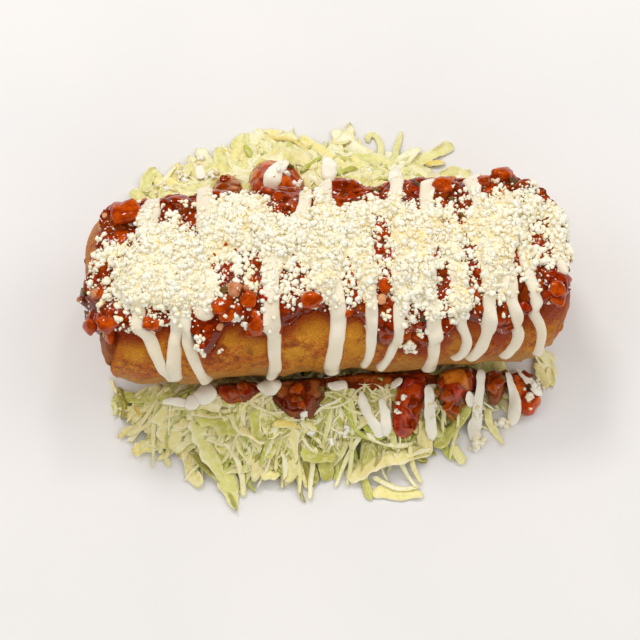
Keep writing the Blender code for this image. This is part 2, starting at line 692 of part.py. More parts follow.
def build_lettuce_crema(points, half_width, collection):
    """Crema run out over the lettuce, sunk into it a little."""
    line = line_points(points, LETTUCE_CREMA_STEP, (1, 1))
    ahead = np.gradient(line, axis=0)
    ahead /= np.linalg.norm(ahead, axis=1)[:, None]
    sideways = np.stack([-ahead[:, 1], ahead[:, 0]], -1)
    count = len(line)

    def rule(u, v, w):
        step = np.rint(u * (count - 1)).astype(int)
        across = (2 * v - 1) * half_width * np.where((step == 0) | (step == count - 1), RIBBON_TIP, 1)
        flat = line[step] + sideways[step] * across[:, None]
        crown = np.where(np.abs(v - 0.5) < 0.1, RIBBON_CROWN, RIBBON_SHOULDER)
        z = bed_top(*flat.T) + np.where(w > 0.5, crown, -LETTUCE_CREMA_SUNK)
        return np.column_stack([flat, z])

    finish("lettuce_crema", reshape(slab(count - 1, 2), rule), collection)


def build_lettuce(parts):
    green = new_material("shredded_lettuce", (0.6, 0.66, 0.32), 0.55)
    core = build_bed_core(parts, green)
    extras = new_collection("lettuce_extras")
    build_strips(extras)
    for points, half_width in LETTUCE_CREMA:
        build_lettuce_crema(points, half_width, extras)
    join(core, extras)


def build_fallen_salsa(parts):
    """Lumpy pieces that rest on the lettuce with a thin gap, and stay below the roll."""
    draw = np.random.default_rng(SEED + 3)
    brick = new_material("fallen_salsa", (0.42, 0.07, 0.03), 0.3)
    for number, (height, outline) in enumerate(FALLEN_SALSA, 1):
        mesh = bmesh.new()
        bmesh.ops.create_icosphere(mesh, subdivisions=2, radius=1)
        swell = draw.uniform(*FALLEN_SWELL, len(mesh.verts))

        def rule(x, y, z):
            angle = np.arctan2(y, x)
            middle, reach = outline_reach(outline, angle)
            share = np.hypot(x, y) * swell
            wide_x = middle[0] + share * reach * np.cos(angle)
            wide_y = middle[1] + share * reach * np.sin(angle)
            rise = FALLEN_FOOT + (1 - FALLEN_FOOT) * np.maximum(z, 0) ** 0.8 * swell
            dome = np.where(z > 0, rise, FALLEN_FOOT * (1 + z))
            ground = bed_top(wide_x, wide_y) + FALLEN_CLEAR
            room = roll_underside(wide_x, wide_y) - GAP - ground
            return np.stack([wide_x, wide_y, ground + np.minimum(height, room) * dome], -1)

        finish(f"fallen_salsa_{number}", reshape(mesh, rule), parts, brick)


def main():
    for piece in list(bpy.data.objects):
        bpy.data.objects.remove(piece)
    parts = new_collection("chimichanga")
    build_roll(parts)
    build_salsa(parts)
    build_cheese(parts)
    build_lettuce(parts)
    build_fallen_salsa(parts)


main()
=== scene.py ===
import bpy
import numpy as np
from mathutils import Matrix, Vector


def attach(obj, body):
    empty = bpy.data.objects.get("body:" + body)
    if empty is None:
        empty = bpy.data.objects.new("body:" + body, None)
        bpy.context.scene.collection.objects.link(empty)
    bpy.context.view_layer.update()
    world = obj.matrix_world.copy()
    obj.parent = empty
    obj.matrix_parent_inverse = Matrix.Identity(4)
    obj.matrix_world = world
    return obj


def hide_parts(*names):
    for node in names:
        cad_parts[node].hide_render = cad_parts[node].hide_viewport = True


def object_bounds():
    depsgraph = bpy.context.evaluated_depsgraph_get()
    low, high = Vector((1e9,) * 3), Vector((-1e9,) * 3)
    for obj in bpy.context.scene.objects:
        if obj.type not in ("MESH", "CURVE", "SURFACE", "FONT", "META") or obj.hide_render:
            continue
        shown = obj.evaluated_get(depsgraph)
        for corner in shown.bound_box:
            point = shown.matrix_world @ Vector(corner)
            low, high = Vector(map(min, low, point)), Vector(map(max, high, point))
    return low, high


# A chimichanga on shredded lettuce, with salsa, crema and crumbled cheese.
# Shapes are worked out in millimetres and degrees and go into the meshes in metres.
# A place on the roll is (along, around): along is the distance from the middle over the top,
# around is 0 at the back, 90 on top, 180 in front and 270 underneath. Lift is the height
# over the smooth roll.

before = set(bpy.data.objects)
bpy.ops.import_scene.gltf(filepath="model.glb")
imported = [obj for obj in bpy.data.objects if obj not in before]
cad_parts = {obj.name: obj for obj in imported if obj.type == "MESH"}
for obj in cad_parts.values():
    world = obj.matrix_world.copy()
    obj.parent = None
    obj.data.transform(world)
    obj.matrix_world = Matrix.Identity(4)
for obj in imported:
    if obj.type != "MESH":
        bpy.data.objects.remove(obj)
cadLow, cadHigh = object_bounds()
mm = 0.001
perDegree = 0.57  # mm of arc on the roll for one degree


def smoothStep(value, start, end):
    # 3t²-2t³, where t is the share of the way from start to end
    share = np.clip((value - start) / (end - start), 0, 1)
    return share * share * (3 - 2 * share)


def hashed(cell, seed):
    # a number from 0 to 1 for each whole-numbered place: odd products mixed by shifts
    value = (cell[..., 0] * 73856093) ^ (cell[..., 1] * 19349663) ^ (cell[..., 2] * 83492791)
    value = (value ^ (seed * 2654435761)) & 0xFFFFFFFF
    value = ((value ^ (value >> 15)) * 1274126177) & 0xFFFFFFFF
    value = ((value ^ (value >> 13)) * 668265263) & 0xFFFFFFFF
    return ((value ^ (value >> 16)) & 0xFFFFFF) / 0xFFFFFF


def noise(points, size, seed, octaves=1):
    # hashed corners of a lattice of this size, blended by 3t²-2t³ on each axis, halved per octave
    total, weight = 0, 1.0
    for octave in range(octaves):
        place = points / (size / 2**octave)
        cell = np.floor(place).astype(np.int64)
        part = place - cell
        part = part * part * (3 - 2 * part)
        for corner in np.ndindex(2, 2, 2):
            blend = np.prod(np.where(np.array(corner, bool), part, 1 - part), axis=-1)
            total = total + weight * blend * (2 * hashed(cell + corner, seed + octave) - 1)
        weight /= 2
    return total / (2 - 2 * weight)


def warped(points, amount, size, seed, octaves=1):
    # the points moved on each axis by noise times the amount
    return points + amount * np.stack([noise(points, size, seed + axis, octaves) for axis in range(3)], -1)


def cells(points, size, seed):
    # distances, in cell sizes, to the nearest two of one random centre per cell, and that cell's number
    place = points / size
    cell = np.floor(place).astype(np.int64)
    nearest = np.full(points.shape[:-1], 9.0)
    second, number = nearest, np.zeros(points.shape[:-1])
    for step in np.ndindex(3, 3, 3):
        spot = cell + np.array(step) - 1
        centre = spot + np.stack([hashed(spot, seed + axis) for axis in range(3)], -1)
        away = ((place - centre) ** 2).sum(-1)
        number = np.where(away < nearest, hashed(spot, seed + 3), number)
        second = np.minimum(second, np.maximum(away, nearest))
        nearest = np.minimum(nearest, away)
    return np.sqrt(nearest), np.sqrt(second), number


def domes(points, size, seed, fill=0.8):
    # half-round bumps: sqrt(1 - (distance / fill)²) round each cell's centre
    away, _, number = cells(points, size, seed)
    return np.sqrt(np.clip(1 - (away / fill) ** 2, 0, 1)), number


def blocks(points, size, seed, crack=0.3):
    # flat-topped lumps with cracks between: the second distance less the first, stepped
    near, second, number = cells(points, size, seed)
    return smoothStep(second - near, 0, crack), number


def blurred(field, radius, wraps=True):
    # running mean over 2 radius + 1 cells on both axes, done twice
    for _ in range(2):
        for axis in (0, 1):
            mode = "wrap" if wraps and axis == 1 else "edge"
            pad = [(radius, radius) if axis == k else (0, 0) for k in (0, 1)]
            total = np.cumsum(np.pad(field, pad, mode=mode), axis=axis)
            width = 2 * radius + 1
            total = np.insert(total, 0, 0, axis=axis)
            size = field.shape[axis]
            ahead = np.take(total, np.arange(width, width + size), axis=axis)
            field = (ahead - np.take(total, np.arange(size), axis=axis)) / width
    return field


def spread(field):
    # highest value within a square of three cells
    for axis in (0, 1):
        field = np.max([np.roll(field, shift, axis) for shift in (-1, 0, 1)], axis=0)
    return field


def tubeFaces(rings, around):
    # triangles between rings of points, closed at both ends by a pole point
    ring = np.arange(rings * around).reshape(rings, around)
    near, far = ring[:-1], ring[1:]
    nearNext, farNext = np.roll(near, -1, 1), np.roll(far, -1, 1)
    sides = np.stack([near, nearNext, farNext, near, farNext, far], -1).reshape(-1, 3)
    first = np.full(around, rings * around)
    start = np.stack([first, np.roll(ring[0], -1), ring[0]], -1)
    end = np.stack([first + 1, ring[-1], np.roll(ring[-1], -1)], -1)
    return np.concatenate([sides, start, end])


def closedTube(rings):
    # points and faces of rings laid out as (rings, around, 3), with each end ring's mean as its pole
    points = np.concatenate([rings.reshape(-1, 3), [rings[0].mean(0), rings[-1].mean(0)]])
    return points, outward(points, tubeFaces(*rings.shape[:2]))


def withEnds(values):
    # a number or a colour for each point of the rings, with the first and the last again for the poles
    flat = values.reshape(-1, values.shape[-1]) if values.ndim == 3 else values.ravel()
    return np.concatenate([flat, flat[:1], flat[-1:]])


def unit(vectors):
    return vectors / np.linalg.norm(vectors, axis=-1)[..., None]


def pathSides(line, stretch=(1, 1)):
    # unit steps along a flat line, and the steps to its left in the line's own units
    ahead = unit(np.gradient(line, axis=0) * stretch)
    return ahead, np.stack([-ahead[:, 1], ahead[:, 0]], -1) / stretch


def outward(points, faces):
    # turns every face round if the volume that the faces enclose comes out negative
    a, b, c = (points[faces[:, k]] for k in range(3))
    return faces[:, ::-1] if np.einsum("ij,ij->i", a, np.cross(b, c)).sum() < 0 else faces


def addPiece(name, points, faces, material, slotName=None, stands=(), marks=None):
    mesh = bpy.data.meshes.new(name)
    mesh.vertices.add(len(points))
    mesh.vertices.foreach_set("co", (points * mm).astype(np.float32).ravel())
    mesh.loops.add(faces.size)
    mesh.loops.foreach_set("vertex_index", faces.astype(np.int32).ravel())
    mesh.polygons.add(len(faces))
    mesh.polygons.foreach_set("loop_start", np.arange(0, faces.size, 3, dtype=np.int32))
    mesh.update(calc_edges=True)
    mesh.shade_smooth()
    for mark, values in (marks or {}).items():
        kind, field = ("FLOAT_COLOR", "color") if values.ndim == 2 else ("FLOAT", "value")
        mesh.attributes.new(mark, kind, "POINT").data.foreach_set(field, values.astype(np.float32).ravel())
    mesh.materials.append(material)
    piece = bpy.data.objects.new(name, mesh)
    bpy.context.scene.collection.objects.link(piece)
    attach(piece, "root")
    if stands:
        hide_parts(*stands)
    print(f"{name}: {len(faces)} triangles")


def addTube(name, rings, material, slotName=None, stands=(), marks=None):
    marks = {mark: withEnds(values) for mark, values in (marks or {}).items()}
    points, faces = closedTube(rings)
    addPiece(name, points, faces, material, slotName, stands, marks)
    return points


def ballRings(rings, around):
    # unit ball: (cos a, sin a cos b, sin a sin b), a over the rings and b round each ring
    a = (np.arange(rings) + 1)[:, None] / (rings + 1) * np.pi
    b = np.arange(around)[None] / around * 2 * np.pi
    ball = np.stack([np.cos(a) + 0 * b, np.sin(a) * np.cos(b), np.sin(a) * np.sin(b)], -1)
    return np.concatenate([ball.reshape(-1, 3), [[1, 0, 0], [-1, 0, 0]]])


def lumpShapes(count, rings, around, boxy, rough, seed):
    # balls pushed towards a box by a power of each coordinate, then made uneven by noise
    ball = ballRings(rings, around)
    box = np.sign(ball) * np.abs(ball) ** boxy
    uneven = [noise(ball + 9.7 * number, 0.9, seed, 2) for number in range(count)]
    shapes = box * (1 + rough * np.array(uneven))[..., None]
    return shapes, outward(shapes[0], tubeFaces(rings, around))


def randomTurns(count, draw):
    # rotation matrices from random unit quaternions
    quaternions = draw.normal(size=(4, count))
    w, x, y, z = quaternions / np.linalg.norm(quaternions, axis=0)
    rows = [1 - 2 * (y * y + z * z), 2 * (x * y - w * z), 2 * (x * z + w * y),
            2 * (x * y + w * z), 1 - 2 * (x * x + z * z), 2 * (y * z - w * x),
            2 * (x * z - w * y), 2 * (y * z + w * x), 1 - 2 * (x * x + y * y)]
    return np.stack(rows, -1).reshape(count, 3, 3)


def scattered(shapes, faces, centres, sizes, draw, turns=None):
    # every copy is one of the shapes times its sizes, turned, at its centre
    count = len(centres)
    which = draw.integers(len(shapes), size=count)
    turns = randomTurns(count, draw) if turns is None else turns
    points = np.einsum("nij,nvj->nvi", turns, shapes[which] * sizes[:, None, :]) + centres[:, None]
    places = faces[None] + (np.arange(count) * shapes.shape[1])[:, None, None]
    return points.reshape(-1, 3), places.reshape(-1, 3)


def perCopy(values, shapes):
    # each copy's value for all its points
    return np.repeat(values, shapes.shape[1], axis=0)


def joined(parts):
    # several (points, faces) as one
    starts = np.cumsum([0] + [len(points) for points, _ in parts])
    faces = [triangles + start for (_, triangles), start in zip(parts, starts)]
    return np.concatenate([points for points, _ in parts]), np.concatenate(faces)


def bilinear(field, u, v):
    # mean of the four cells round a place, by closeness; the second axis wraps round
    column, row = u.astype(int), v.astype(int)
    partU, partV = u - column, v - row
    row, after = row % field.shape[1], (row + 1) % field.shape[1]
    near = field[column, row] * (1 - partV) + field[column, after] * partV
    far = field[column + 1, row] * (1 - partV) + field[column + 1, after] * partV
    return near * (1 - partU) + far * partU


def raiseMap(field, u, v, heights):
    # the field takes the highest value that falls in each of its cells
    column, row = np.rint(u).astype(int), np.rint(v).astype(int) % field.shape[1]
    np.maximum.at(field, (column.ravel(), row.ravel()), heights.ravel())


def screen(red, green, blue):
    # a colour read off a picture, 0 to 255, as the linear value that the shaders use
    value = np.array([red, green, blue]) / 255
    linear = np.where(value <= 0.04045, value / 12.92, ((value + 0.055) / 1.055) ** 2.4)
    return (*linear, 1)


def addNode(tree, kind, inputs=(), **settings):
    # a shader node with these settings; each input is a value or the socket that feeds it
    node = tree.nodes.new(kind)
    for label, value in settings.items():
        setattr(node, label, value)
    for label, value in dict(inputs).items():
        if isinstance(value, bpy.types.NodeSocket):
            tree.links.new(value, node.inputs[label])
        else:
            node.inputs[label].default_value = value
    return node


def newGroup(name, inputs, outputs):
    group = bpy.data.node_groups.new(name, "ShaderNodeTree")
    for label, value in inputs.items():
        socket = group.interface.new_socket(name=label, in_out="INPUT", socket_type="NodeSocketFloat")
        socket.default_value = value
    for label in outputs:
        group.interface.new_socket(name=label, in_out="OUTPUT", socket_type="NodeSocketFloat")
    return group, group.nodes.new("NodeGroupInput"), group.nodes.new("NodeGroupOutput")


grainSizes = {"Patch Size": 20.0, "Blotch Size": 5.0, "Speck Size": 1.0}


def foodGrain():
    # noise at three sizes in the piece's own coordinates: patches, blotches, specks and a bump height
    group, start, end = newGroup("foodGrain", grainSizes, ("Patches", "Blotches", "Specks", "Height"))
    place = addNode(group, "ShaderNodeTexCoord").outputs["Object"]
    made = []
    for size, detail, low, high in zip(start.outputs, (3, 4, 2), (0.35, 0.35, 0.3), (0.65, 0.65, 0.7)):
        scale = addNode(group, "ShaderNodeMath", {0: 1 / mm, 1: size}, operation="DIVIDE").outputs[0]
        pattern = addNode(group, "ShaderNodeTexNoise", {"Vector": place, "Scale": scale, "Detail": detail})
        reach = {"Value": pattern.outputs[0], "From Min": low, "From Max": high}
        made.append(addNode(group, "ShaderNodeMapRange", reach).outputs[0])
    made.append(addNode(group, "ShaderNodeMath", {0: made[1], 1: made[2]}, operation="ADD").outputs[0])
    for value, socket in zip(made, end.inputs):
        group.links.new(value, socket)
    return group


grain = foodGrain()


def finish(name, sizes, base, layers, rough=None, bump=None, extra=None, **settings):
    # one material: a Principled shader with the grain group. A layer is (colour, mask, amount, low, high):
    # it lies over the ones before it where its mask, a group's output or a mark, runs from low to high
    material = bpy.data.materials.new(name)
    material.use_nodes = True
    tree = material.node_tree
    shader = tree.nodes["Principled BSDF"]
    for label, value in settings.items():
        shader.inputs[label.replace("_", " ")].default_value = value
    groups = [addNode(tree, "ShaderNodeGroup", node_tree=group) for group in (grain, extra) if group]
    for label, size in zip(grainSizes, sizes):
        groups[0].inputs[label].default_value = size

    def output(mask):
        for node in groups:
            if mask in node.outputs:
                return node.outputs[mask]
        mark = addNode(tree, "ShaderNodeAttribute", attribute_name=mask)
        return mark.outputs["Color" if mask == "tint" else "Fac"]

    colour = output(base) if isinstance(base, str) else screen(*base)
    for layer in layers:
        shade, mask, amount, low, high = layer + (1.0, 0.0, 1.0)[len(layer) - 2:]
        reach = {"Value": output(mask), "From Min": low, "From Max": high, "To Max": amount}
        reach = addNode(tree, "ShaderNodeMapRange", reach, interpolation_type="SMOOTHSTEP").outputs[0]
        mix = addNode(tree, "ShaderNodeMix", data_type="RGBA")
        for label, value in (("Factor", reach), (6, colour), (7, screen(*shade))):
            if isinstance(value, tuple):
                mix.inputs[label].default_value = value
            else:
                tree.links.new(value, mix.inputs[label])
        colour = mix.outputs[2]
    tree.links.new(colour, shader.inputs["Base Color"])
    if rough:
        reach = {"Value": output(rough[0]), "To Min": rough[1], "To Max": rough[2]}
        reach = addNode(tree, "ShaderNodeMapRange", reach).outputs[0]
        tree.links.new(reach, shader.inputs["Roughness"])
    if bump:
        height = {"Height": groups[0].outputs["Height"], "Distance": bump[0] * mm, "Strength": bump[1]}
        tree.links.new(addNode(tree, "ShaderNodeBump", height).outputs[0], shader.inputs["Normal"])
    return material


roll = {
    "halfLength": 97.0, "middleX": -1.0, "halfWidth": 36.5, "halfHeight": 29.0,
    "widthTaper": 1.4, "heightTaper": 0.5, "middleY": -1.5, "middleZ": 38.5,
    "sectionPower": 2.35, "endPower": 16.0, "endRounding": 2.2,
    # waves: how often in 82 mm along and in one turn, start in radians, size
    "waves": ((1.9, 3, 0.2, 0.5), (4.3, 2, 1.7, 0.35), (3.1, 5, 4.0, 0.3)),
    "wrapEdge": ((112, -79), (185, -89)), "wrapStep": 2.6, "seamAround": 201.0, "seamStep": 2.0,
    "press": 2.4, "pressAlong": (-10, 32), "pressAround": ((150, 190), (215, 250)),
    "blisters": 260, "blisterRadius": (1.2, 5.0), "blisterHeight": (0.15, 0.75),
    "rings": 330, "ringPoints": 232,
}


def widthAt(share):
    # part of the full width at a share of the half length: (1 - share^p)^(1/r)
    return (1 - share ** roll["endPower"]) ** (1 / roll["endRounding"])


# distance over the top for shares of the half length, closer together towards the ends
shareAlong = np.concatenate([np.linspace(0, 0.6, 60), 1 - 0.4 * np.linspace(1, 0, 900) ** 2])
widthAlong = widthAt(shareAlong)
stepAlong = np.hypot(np.diff(shareAlong) * roll["halfLength"],
                     np.diff(widthAlong) * 0.5 * (roll["halfWidth"] + roll["halfHeight"]))
distanceAlong = np.concatenate([[0], np.cumsum(stepAlong)])
poleDistance = distanceAlong[-1]


def rollPoint(along, around, lift):
    # superellipse section |c|^(2/n), |s|^(2/n) times the half width and height at this distance
    away = np.abs(along - roll["middleX"])
    share = np.sign(along - roll["middleX"]) * np.interp(away, distanceAlong, shareAlong)
    width = np.interp(away, distanceAlong, widthAlong)
    cosine, sine = np.cos(np.radians(around)), np.sin(np.radians(around))
    side = np.sign(cosine) * np.abs(cosine) ** (2 / roll["sectionPower"])
    rise = np.sign(sine) * np.abs(sine) ** (2 / roll["sectionPower"])
    x = roll["middleX"] + share * (roll["halfLength"] + lift)
    y = roll["middleY"] + side * (roll["halfWidth"] - roll["widthTaper"] * share + lift) * width
    z = roll["middleZ"] + rise * (roll["halfHeight"] - roll["heightTaper"] * share + lift) * width
    return np.stack(np.broadcast_arrays(x, y, z), -1)


def domeField(along, around, spots):
    # highest of the spots' domes: height (1 - d²)^0.8 within each radius
    field = np.zeros(np.broadcast(along, around).shape)
    for spotAlong, spotAround, radius, height in spots:
        turned = (around - spotAround + 180) % 360 - 180
        away = ((along - spotAlong) ** 2 + (turned * perDegree) ** 2) / radius**2
        field = np.maximum(field, height * np.clip(1 - away, 0, 1) ** 0.8)
    return field


def stepMasks(along, around):
    # how far a place is past the wrap's left edge and below the lower seam, 0 to 1
    wander = 0.4 * np.sin(around * 0.11) + 0.2 * np.sin(around * 0.31 + 1)
    first, last = roll["wrapEdge"]
    edge = np.interp(around, (first[0], last[0]), (first[1], last[1])) + wander
    ragged = 1.6 * np.sin(along * 0.21) + 0.9 * np.sin(along * 0.57 + 2)
    atFront = smoothStep(around, 92, 112) * (1 - smoothStep(around, 226, 250))
    past = smoothStep(-along, 2.4 - edge, 3.2 - edge) * atFront
    seam = roll["seamAround"] + 3 + ragged
    below = smoothStep(around, seam, seam + 3) * (1 - smoothStep(around, 232, 262))
    nearEdge = np.exp(-(((along - edge + 1.9) / 0.7) ** 2)) * atFront
    return past, below, nearEdge


def seededBlisters():
    # along, around, radius and height of each; small ones are the most common
    draw, count = np.random.default_rng(41), roll["blisters"]
    along, around = draw.uniform(-112, 108, count), draw.uniform(0, 360, count)
    least, most = roll["blisterRadius"]
    radius = least + (most - least) * draw.uniform(0, 1, count) ** 2
    return np.column_stack([along, around, radius, draw.uniform(*roll["blisterHeight"], count)])


blisters = seededBlisters()


def crustLift(along, around):
    # soft waves, the wrap steps, the flat front, creases at the tucked ends, blisters and unevenness
    waves = sum(size * np.sin(along / 13 * perX + np.radians(around) * perTurn + start)
                for perX, perTurn, start, size in roll["waves"])
    past, below, nearEdge = stepMasks(along, around)
    end = smoothStep(np.abs(along - roll["middleX"]), 99, 111)
    creases = -1.1 * end * np.abs(np.sin(np.radians(around) * 2.5 + 0.6))
    creases = creases - 0.5 * end * np.abs(np.sin(np.radians(around) * 6 + along * 0.05))
    place = rollPoint(along, around, 0)
    uneven = 0.45 * noise(place * (0.6, 1, 1), 9, 5, 3)
    press = smoothStep(around, *roll["pressAround"][0]) * (1 - smoothStep(around, *roll["pressAround"][1]))
    press = roll["press"] * press * (1 - smoothStep(along, *roll["pressAlong"]))
    lift = (waves - roll["seamStep"] * below - press) * (1 - end) - roll["wrapStep"] * past
    pole = smoothStep(poleDistance - np.abs(along - roll["middleX"]), 0, 8)
    return (lift + creases + uneven + domeField(along, around, blisters) + 0.5 * nearEdge) * pole


# the height of everything laid on the roll so far, on a grid of half a millimetre
alongStep, aroundStep = 0.5, 0.9
alongAxis = np.arange(-116, 112.01, alongStep)
alongGrid, aroundGrid = np.meshgrid(alongAxis, np.arange(0, 360, aroundStep), indexing="ij")
crust = crustLift(alongGrid, aroundGrid)
cover = crust.copy()
print("crust heights done")


def onRollMap(along, around):
    # places on the roll in cells of its map
    column = np.clip((along - alongAxis[0]) / alongStep, 0, len(alongAxis) - 1.001)
    return column, (around % 360) / aroundStep


def sampled(field, along, around):
    return bilinear(field, *onRollMap(along, around))


def raiseCover(along, around, lift):
    raiseMap(cover, *onRollMap(along, around), lift)


fried = {
    "golden": (230, 138, 20), "orange": (212, 102, 14), "brown": (158, 74, 10), "dark": (74, 32, 6),
    # the khaki colour of the band along the roll's lower front is a painted highlight along its lower edge
    "pale": (236, 176, 58), "edge": (232, 122, 24), "stain": (168, 46, 4), "lowerEdgeHighlight": (206, 150, 70),
    "bright": (240, 168, 36), "spot": (128, 52, 8),
    # along, around and radius of burnt spots and of bright patches
    "burnt": (
        (-16, 141, 2.6), (-20, 143, 2), (-33, 144, 2.6), (-38, 149, 2), (-43, 140, 1.8), (-33, 162, 1.8),
        (-49, 147, 2), (44, 150, 2.4), (11, 143, 1.6), (-36, 156, 1.2), (-80, 150, 1.4), (62, 168, 1.6)),
    "patches": (
        (-8, 129, 9), (-4, 124, 7), (-31, 140, 7), (-40, 133, 6), (6, 135, 6), (8, 152, 7), (17, 147, 5),
        (47, 155, 6), (54, 143, 5), (73, 147, 5), (84, 152, 5), (-16, 151, 6), (-77, 138, 7)),
}


def buildTortilla():
    # the roll's rings from pole to pole with the crust's lift
    along = np.linspace(-poleDistance + 0.4, poleDistance - 0.4, roll["rings"])[:, None] + roll["middleX"]
    along, around = np.broadcast_arrays(along, np.arange(0, 360, 360 / roll["ringPoints"])[None])
    place = rollPoint(along, around, 0)
    past, _, nearEdge = stepMasks(along, around)
    toPole = poleDistance - np.abs(along - roll["middleX"]) + 4 * noise(place, 7, 36, 2)
    # the stain fades downwards from the salsa's front outline and towards the ends
    reach = (around - outlineAt(along, salsa["front"])) * perDegree + 3.6 * noise(place, 9, 31, 2)
    stain = np.exp(-np.clip(reach, 0, 99) / (7 + 9 * smoothStep(along, 20, 60)))
    stain = stain * smoothStep(around, 70, 100) * smoothStep(toPole, 12, 26)
    shift = warped(place, 3.0, 3.5, 32, 3) - place
    bent = along + shift[..., 0], around + shift[..., 2] / perDegree
    spots = ([(*spot, 1.0) for spot in fried[kind]] for kind in ("burnt", "patches"))
    burnt, bright = (domeField(*bent, places) for places in spots)
    blister = domeField(along, around, blisters[:90] * (1, 1, 0.8, 0) + (0, 0, 0, 0.8))
    # a paler khaki band along the lower front of the roll: a painted highlight along its lower edge
    lowerEdgeHighlight = smoothStep(around + 14 * noise(place, 8, 35, 2), 162, 184) * (1 - smoothStep(around, 236, 256))
    marks = {"stain": stain, "blister": np.maximum(blister, burnt), "wrapEdge": nearEdge, "inner": past,
             "lowerEdgeHighlight": lowerEdgeHighlight * smoothStep(toPole, 10, 34), "bright": bright}
    look = finish("friedTortilla", (17, 2.6, 0.65), fried["golden"], (
        (fried["orange"], "Patches"), (fried["pale"], "Blotches", 0.45, 0.6, 0.85),
        (fried["brown"], "Blotches", 0.6, 0.42, 0.14), (fried["dark"], "Specks", 0.42, 0.36, 0.0),
        (fried["pale"], "Specks", 0.4, 0.65, 1.0), (fried["bright"], "bright", 0.6, 0.1, 0.9),
        (fried["lowerEdgeHighlight"], "lowerEdgeHighlight", 0.65), (fried["brown"], "inner", 0.55), (fried["edge"], "wrapEdge", 0.9),
        (fried["spot"], "blister", 0.6, 0.2, 0.95), (fried["stain"], "stain", 0.85, 0.15, 0.9)),
        ("Blotches", 0.3, 0.52), (0.7, 0.9), Specular_IOR_Level=0.3)
    addTube("friedTortilla", rollPoint(along, around, crustLift(along, around)), look, "fried_tortilla",
            ("fried_tortilla_roll",), marks)


salsa = {
    "front": (
        (-108, 150), (-99, 138), (-94, 127), (-85, 124), (-72, 126), (-62, 122), (-55, 124), (-53, 134),
        (-51, 143), (-48, 144), (-45, 134), (-42, 125), (-39, 123), (-35, 125), (-31, 130), (-27, 134),
        (-20, 128), (-12, 121), (-5, 118), (-1, 123), (6, 123), (11, 128), (16, 142), (19, 153), (22, 146),
        (27, 157), (32, 160), (35, 151), (40, 146), (43, 146), (47, 131), (54, 135), (58, 136), (63, 146),
        (66, 151), (69, 142), (74, 133), (80, 127), (88, 126), (97, 124)),
    "back": (
        (-108, 90), (-99, 87), (-94, 82), (-89, 76), (-85, 48), (-79, 30), (-60, 20), (-20, 14), (30, 16),
        (74, 20), (86, 46), (97, 72)),
    "start": -108, "end": 97, "thick": 1.6, "rim": 1.0,
    "lumps": (
        (-76, 50, 6.5, 3.6), (-84, 114, 8, 3), (-95, 122, 8, 2.6), (-36, 104, 8, 3.4), (-29, 122, 6, 3.6),
        (-8, 111, 6, 3.8), (8, 30, 8, 3.2), (27, 38, 7, 2.6), (45, 44, 8, 2.6), (61, 42, 6.5, 3),
        (68, 32, 7, 3.6), (20, 96, 7, 2.6), (70, 108, 8, 2.4), (84, 118, 8, 2.6), (41, 118, 7, 2.2)),
    "extraLumps": 75, "lumpRadius": (4.5, 8.5), "lumpHeight": (0.8, 2.4),
    "pulpHeight": 0.75,
    # each: name, how many, sizes, boxiness, rise in half heights, distance from the edge, seed, and
    # the ones that have a place of their own: along, around and size
    "chunks": (
        ("tomatoPieces", 110, (2.8, 6.8), 0.75, -0.6, 2.2, 51, (
            (-75, 54, 11.5), (-41, 109, 7), (-39, 115, 7), (-30, 107, 6.5), (-28, 122, 6.5), (-31, 127, 6),
            (-8, 110, 7), (-82, 115, 7), (-89, 128, 6.5), (-94, 120, 6.5), (20, 105, 6.5), (60, 46, 7),
            (68, 36, 8), (44, 49, 7), (82, 115, 7), (84, 122, 6.5), (-68, 117, 6.5))),
        ("onionPieces", 20, (2.4, 4.2), 0.7, 0.2, 2.5, 52, ((-35, 102, 5.5), (-31, 101, 4))),
        ("pepperPieces", 26, (2.2, 4.0), 0.7, 0.2, 2.5, 53, ((73, 44, 4),))),
    "red": (146, 38, 4), "orange": (192, 78, 8), "dark": (80, 18, 2), "brown": (112, 52, 8),
    # the pieces' materials, and the darker tomato of the fallen salsa: what finish takes, and settings
    "looks": (
        ("tomatoPieces", (9, 3, 0.7), (164, 40, 2), (
            ((208, 82, 8), "tone", 0.85), ((122, 24, 2), "Blotches", 0.7),
            ((226, 128, 24), "Specks", 0.3, 0.8, 1.0)), ("Specks", 0.05, 0.11), (0.06, 0.2), {}),
        ("onionPieces", (8, 3, 0.8), (214, 148, 100), (
            ((192, 96, 48), "tone", 0.8), ((230, 184, 140), "Blotches", 0.4)),
            ("Specks", 0.2, 0.4), (0.2, 0.4), {"Specular_IOR_Level": 0.3}),
        ("pepperPieces", (8, 3, 0.8), (112, 84, 28), (
            ((70, 48, 18), "tone"), ((168, 104, 36), "Blotches", 0.5)),
            ("Specks", 0.2, 0.45), (0.3, 0.5), {}),
        ("deepTomato", (7, 3, 0.7), (144, 42, 4), (
            ((192, 84, 10), "tone", 0.8), ((96, 26, 2), "Blotches", 0.6),
            ((210, 118, 30), "Specks", 0.3, 0.8, 1.0)), ("Specks", 0.05, 0.11), (0.06, 0.2), {})),
}


def outlineAt(along, outline, reach=2):
    # the outline's angle at a distance along, as the mean over twice this reach so that corners are round
    shifts = range(-reach, reach + 1)
    return np.mean([np.interp(along + shift, *np.array(outline).T) for shift in shifts], axis=0)


def insideOutline(along, around, topping, reach):
    # distance inside the topping's outline and its ends in mm; negative outside
    front, back = (outlineAt(along, topping[side], reach) for side in ("front", "back"))
    inside = np.minimum(front - around, around - back) * perDegree
    return np.minimum(inside, np.minimum(along - topping["start"], topping["end"] - along))


def closedSheet(along, around, outer, depth, backs, marks):
    # rings over the roll at this lift, closed below the crust at this depth by so many more points
    under = np.linspace(around[0, -1], around[0, 0], backs + 2)[1:-1]
    around = np.concatenate([around, np.broadcast_to(under, (len(along), backs))], 1)
    lift = np.pad(outer, ((0, 0), (0, backs)), constant_values=-depth)
    marks = {mark: np.pad(values, ((0, 0), (0, backs))) for mark, values in marks.items()}
    return rollPoint(np.broadcast_to(along[:, :1], around.shape), around, lift), marks


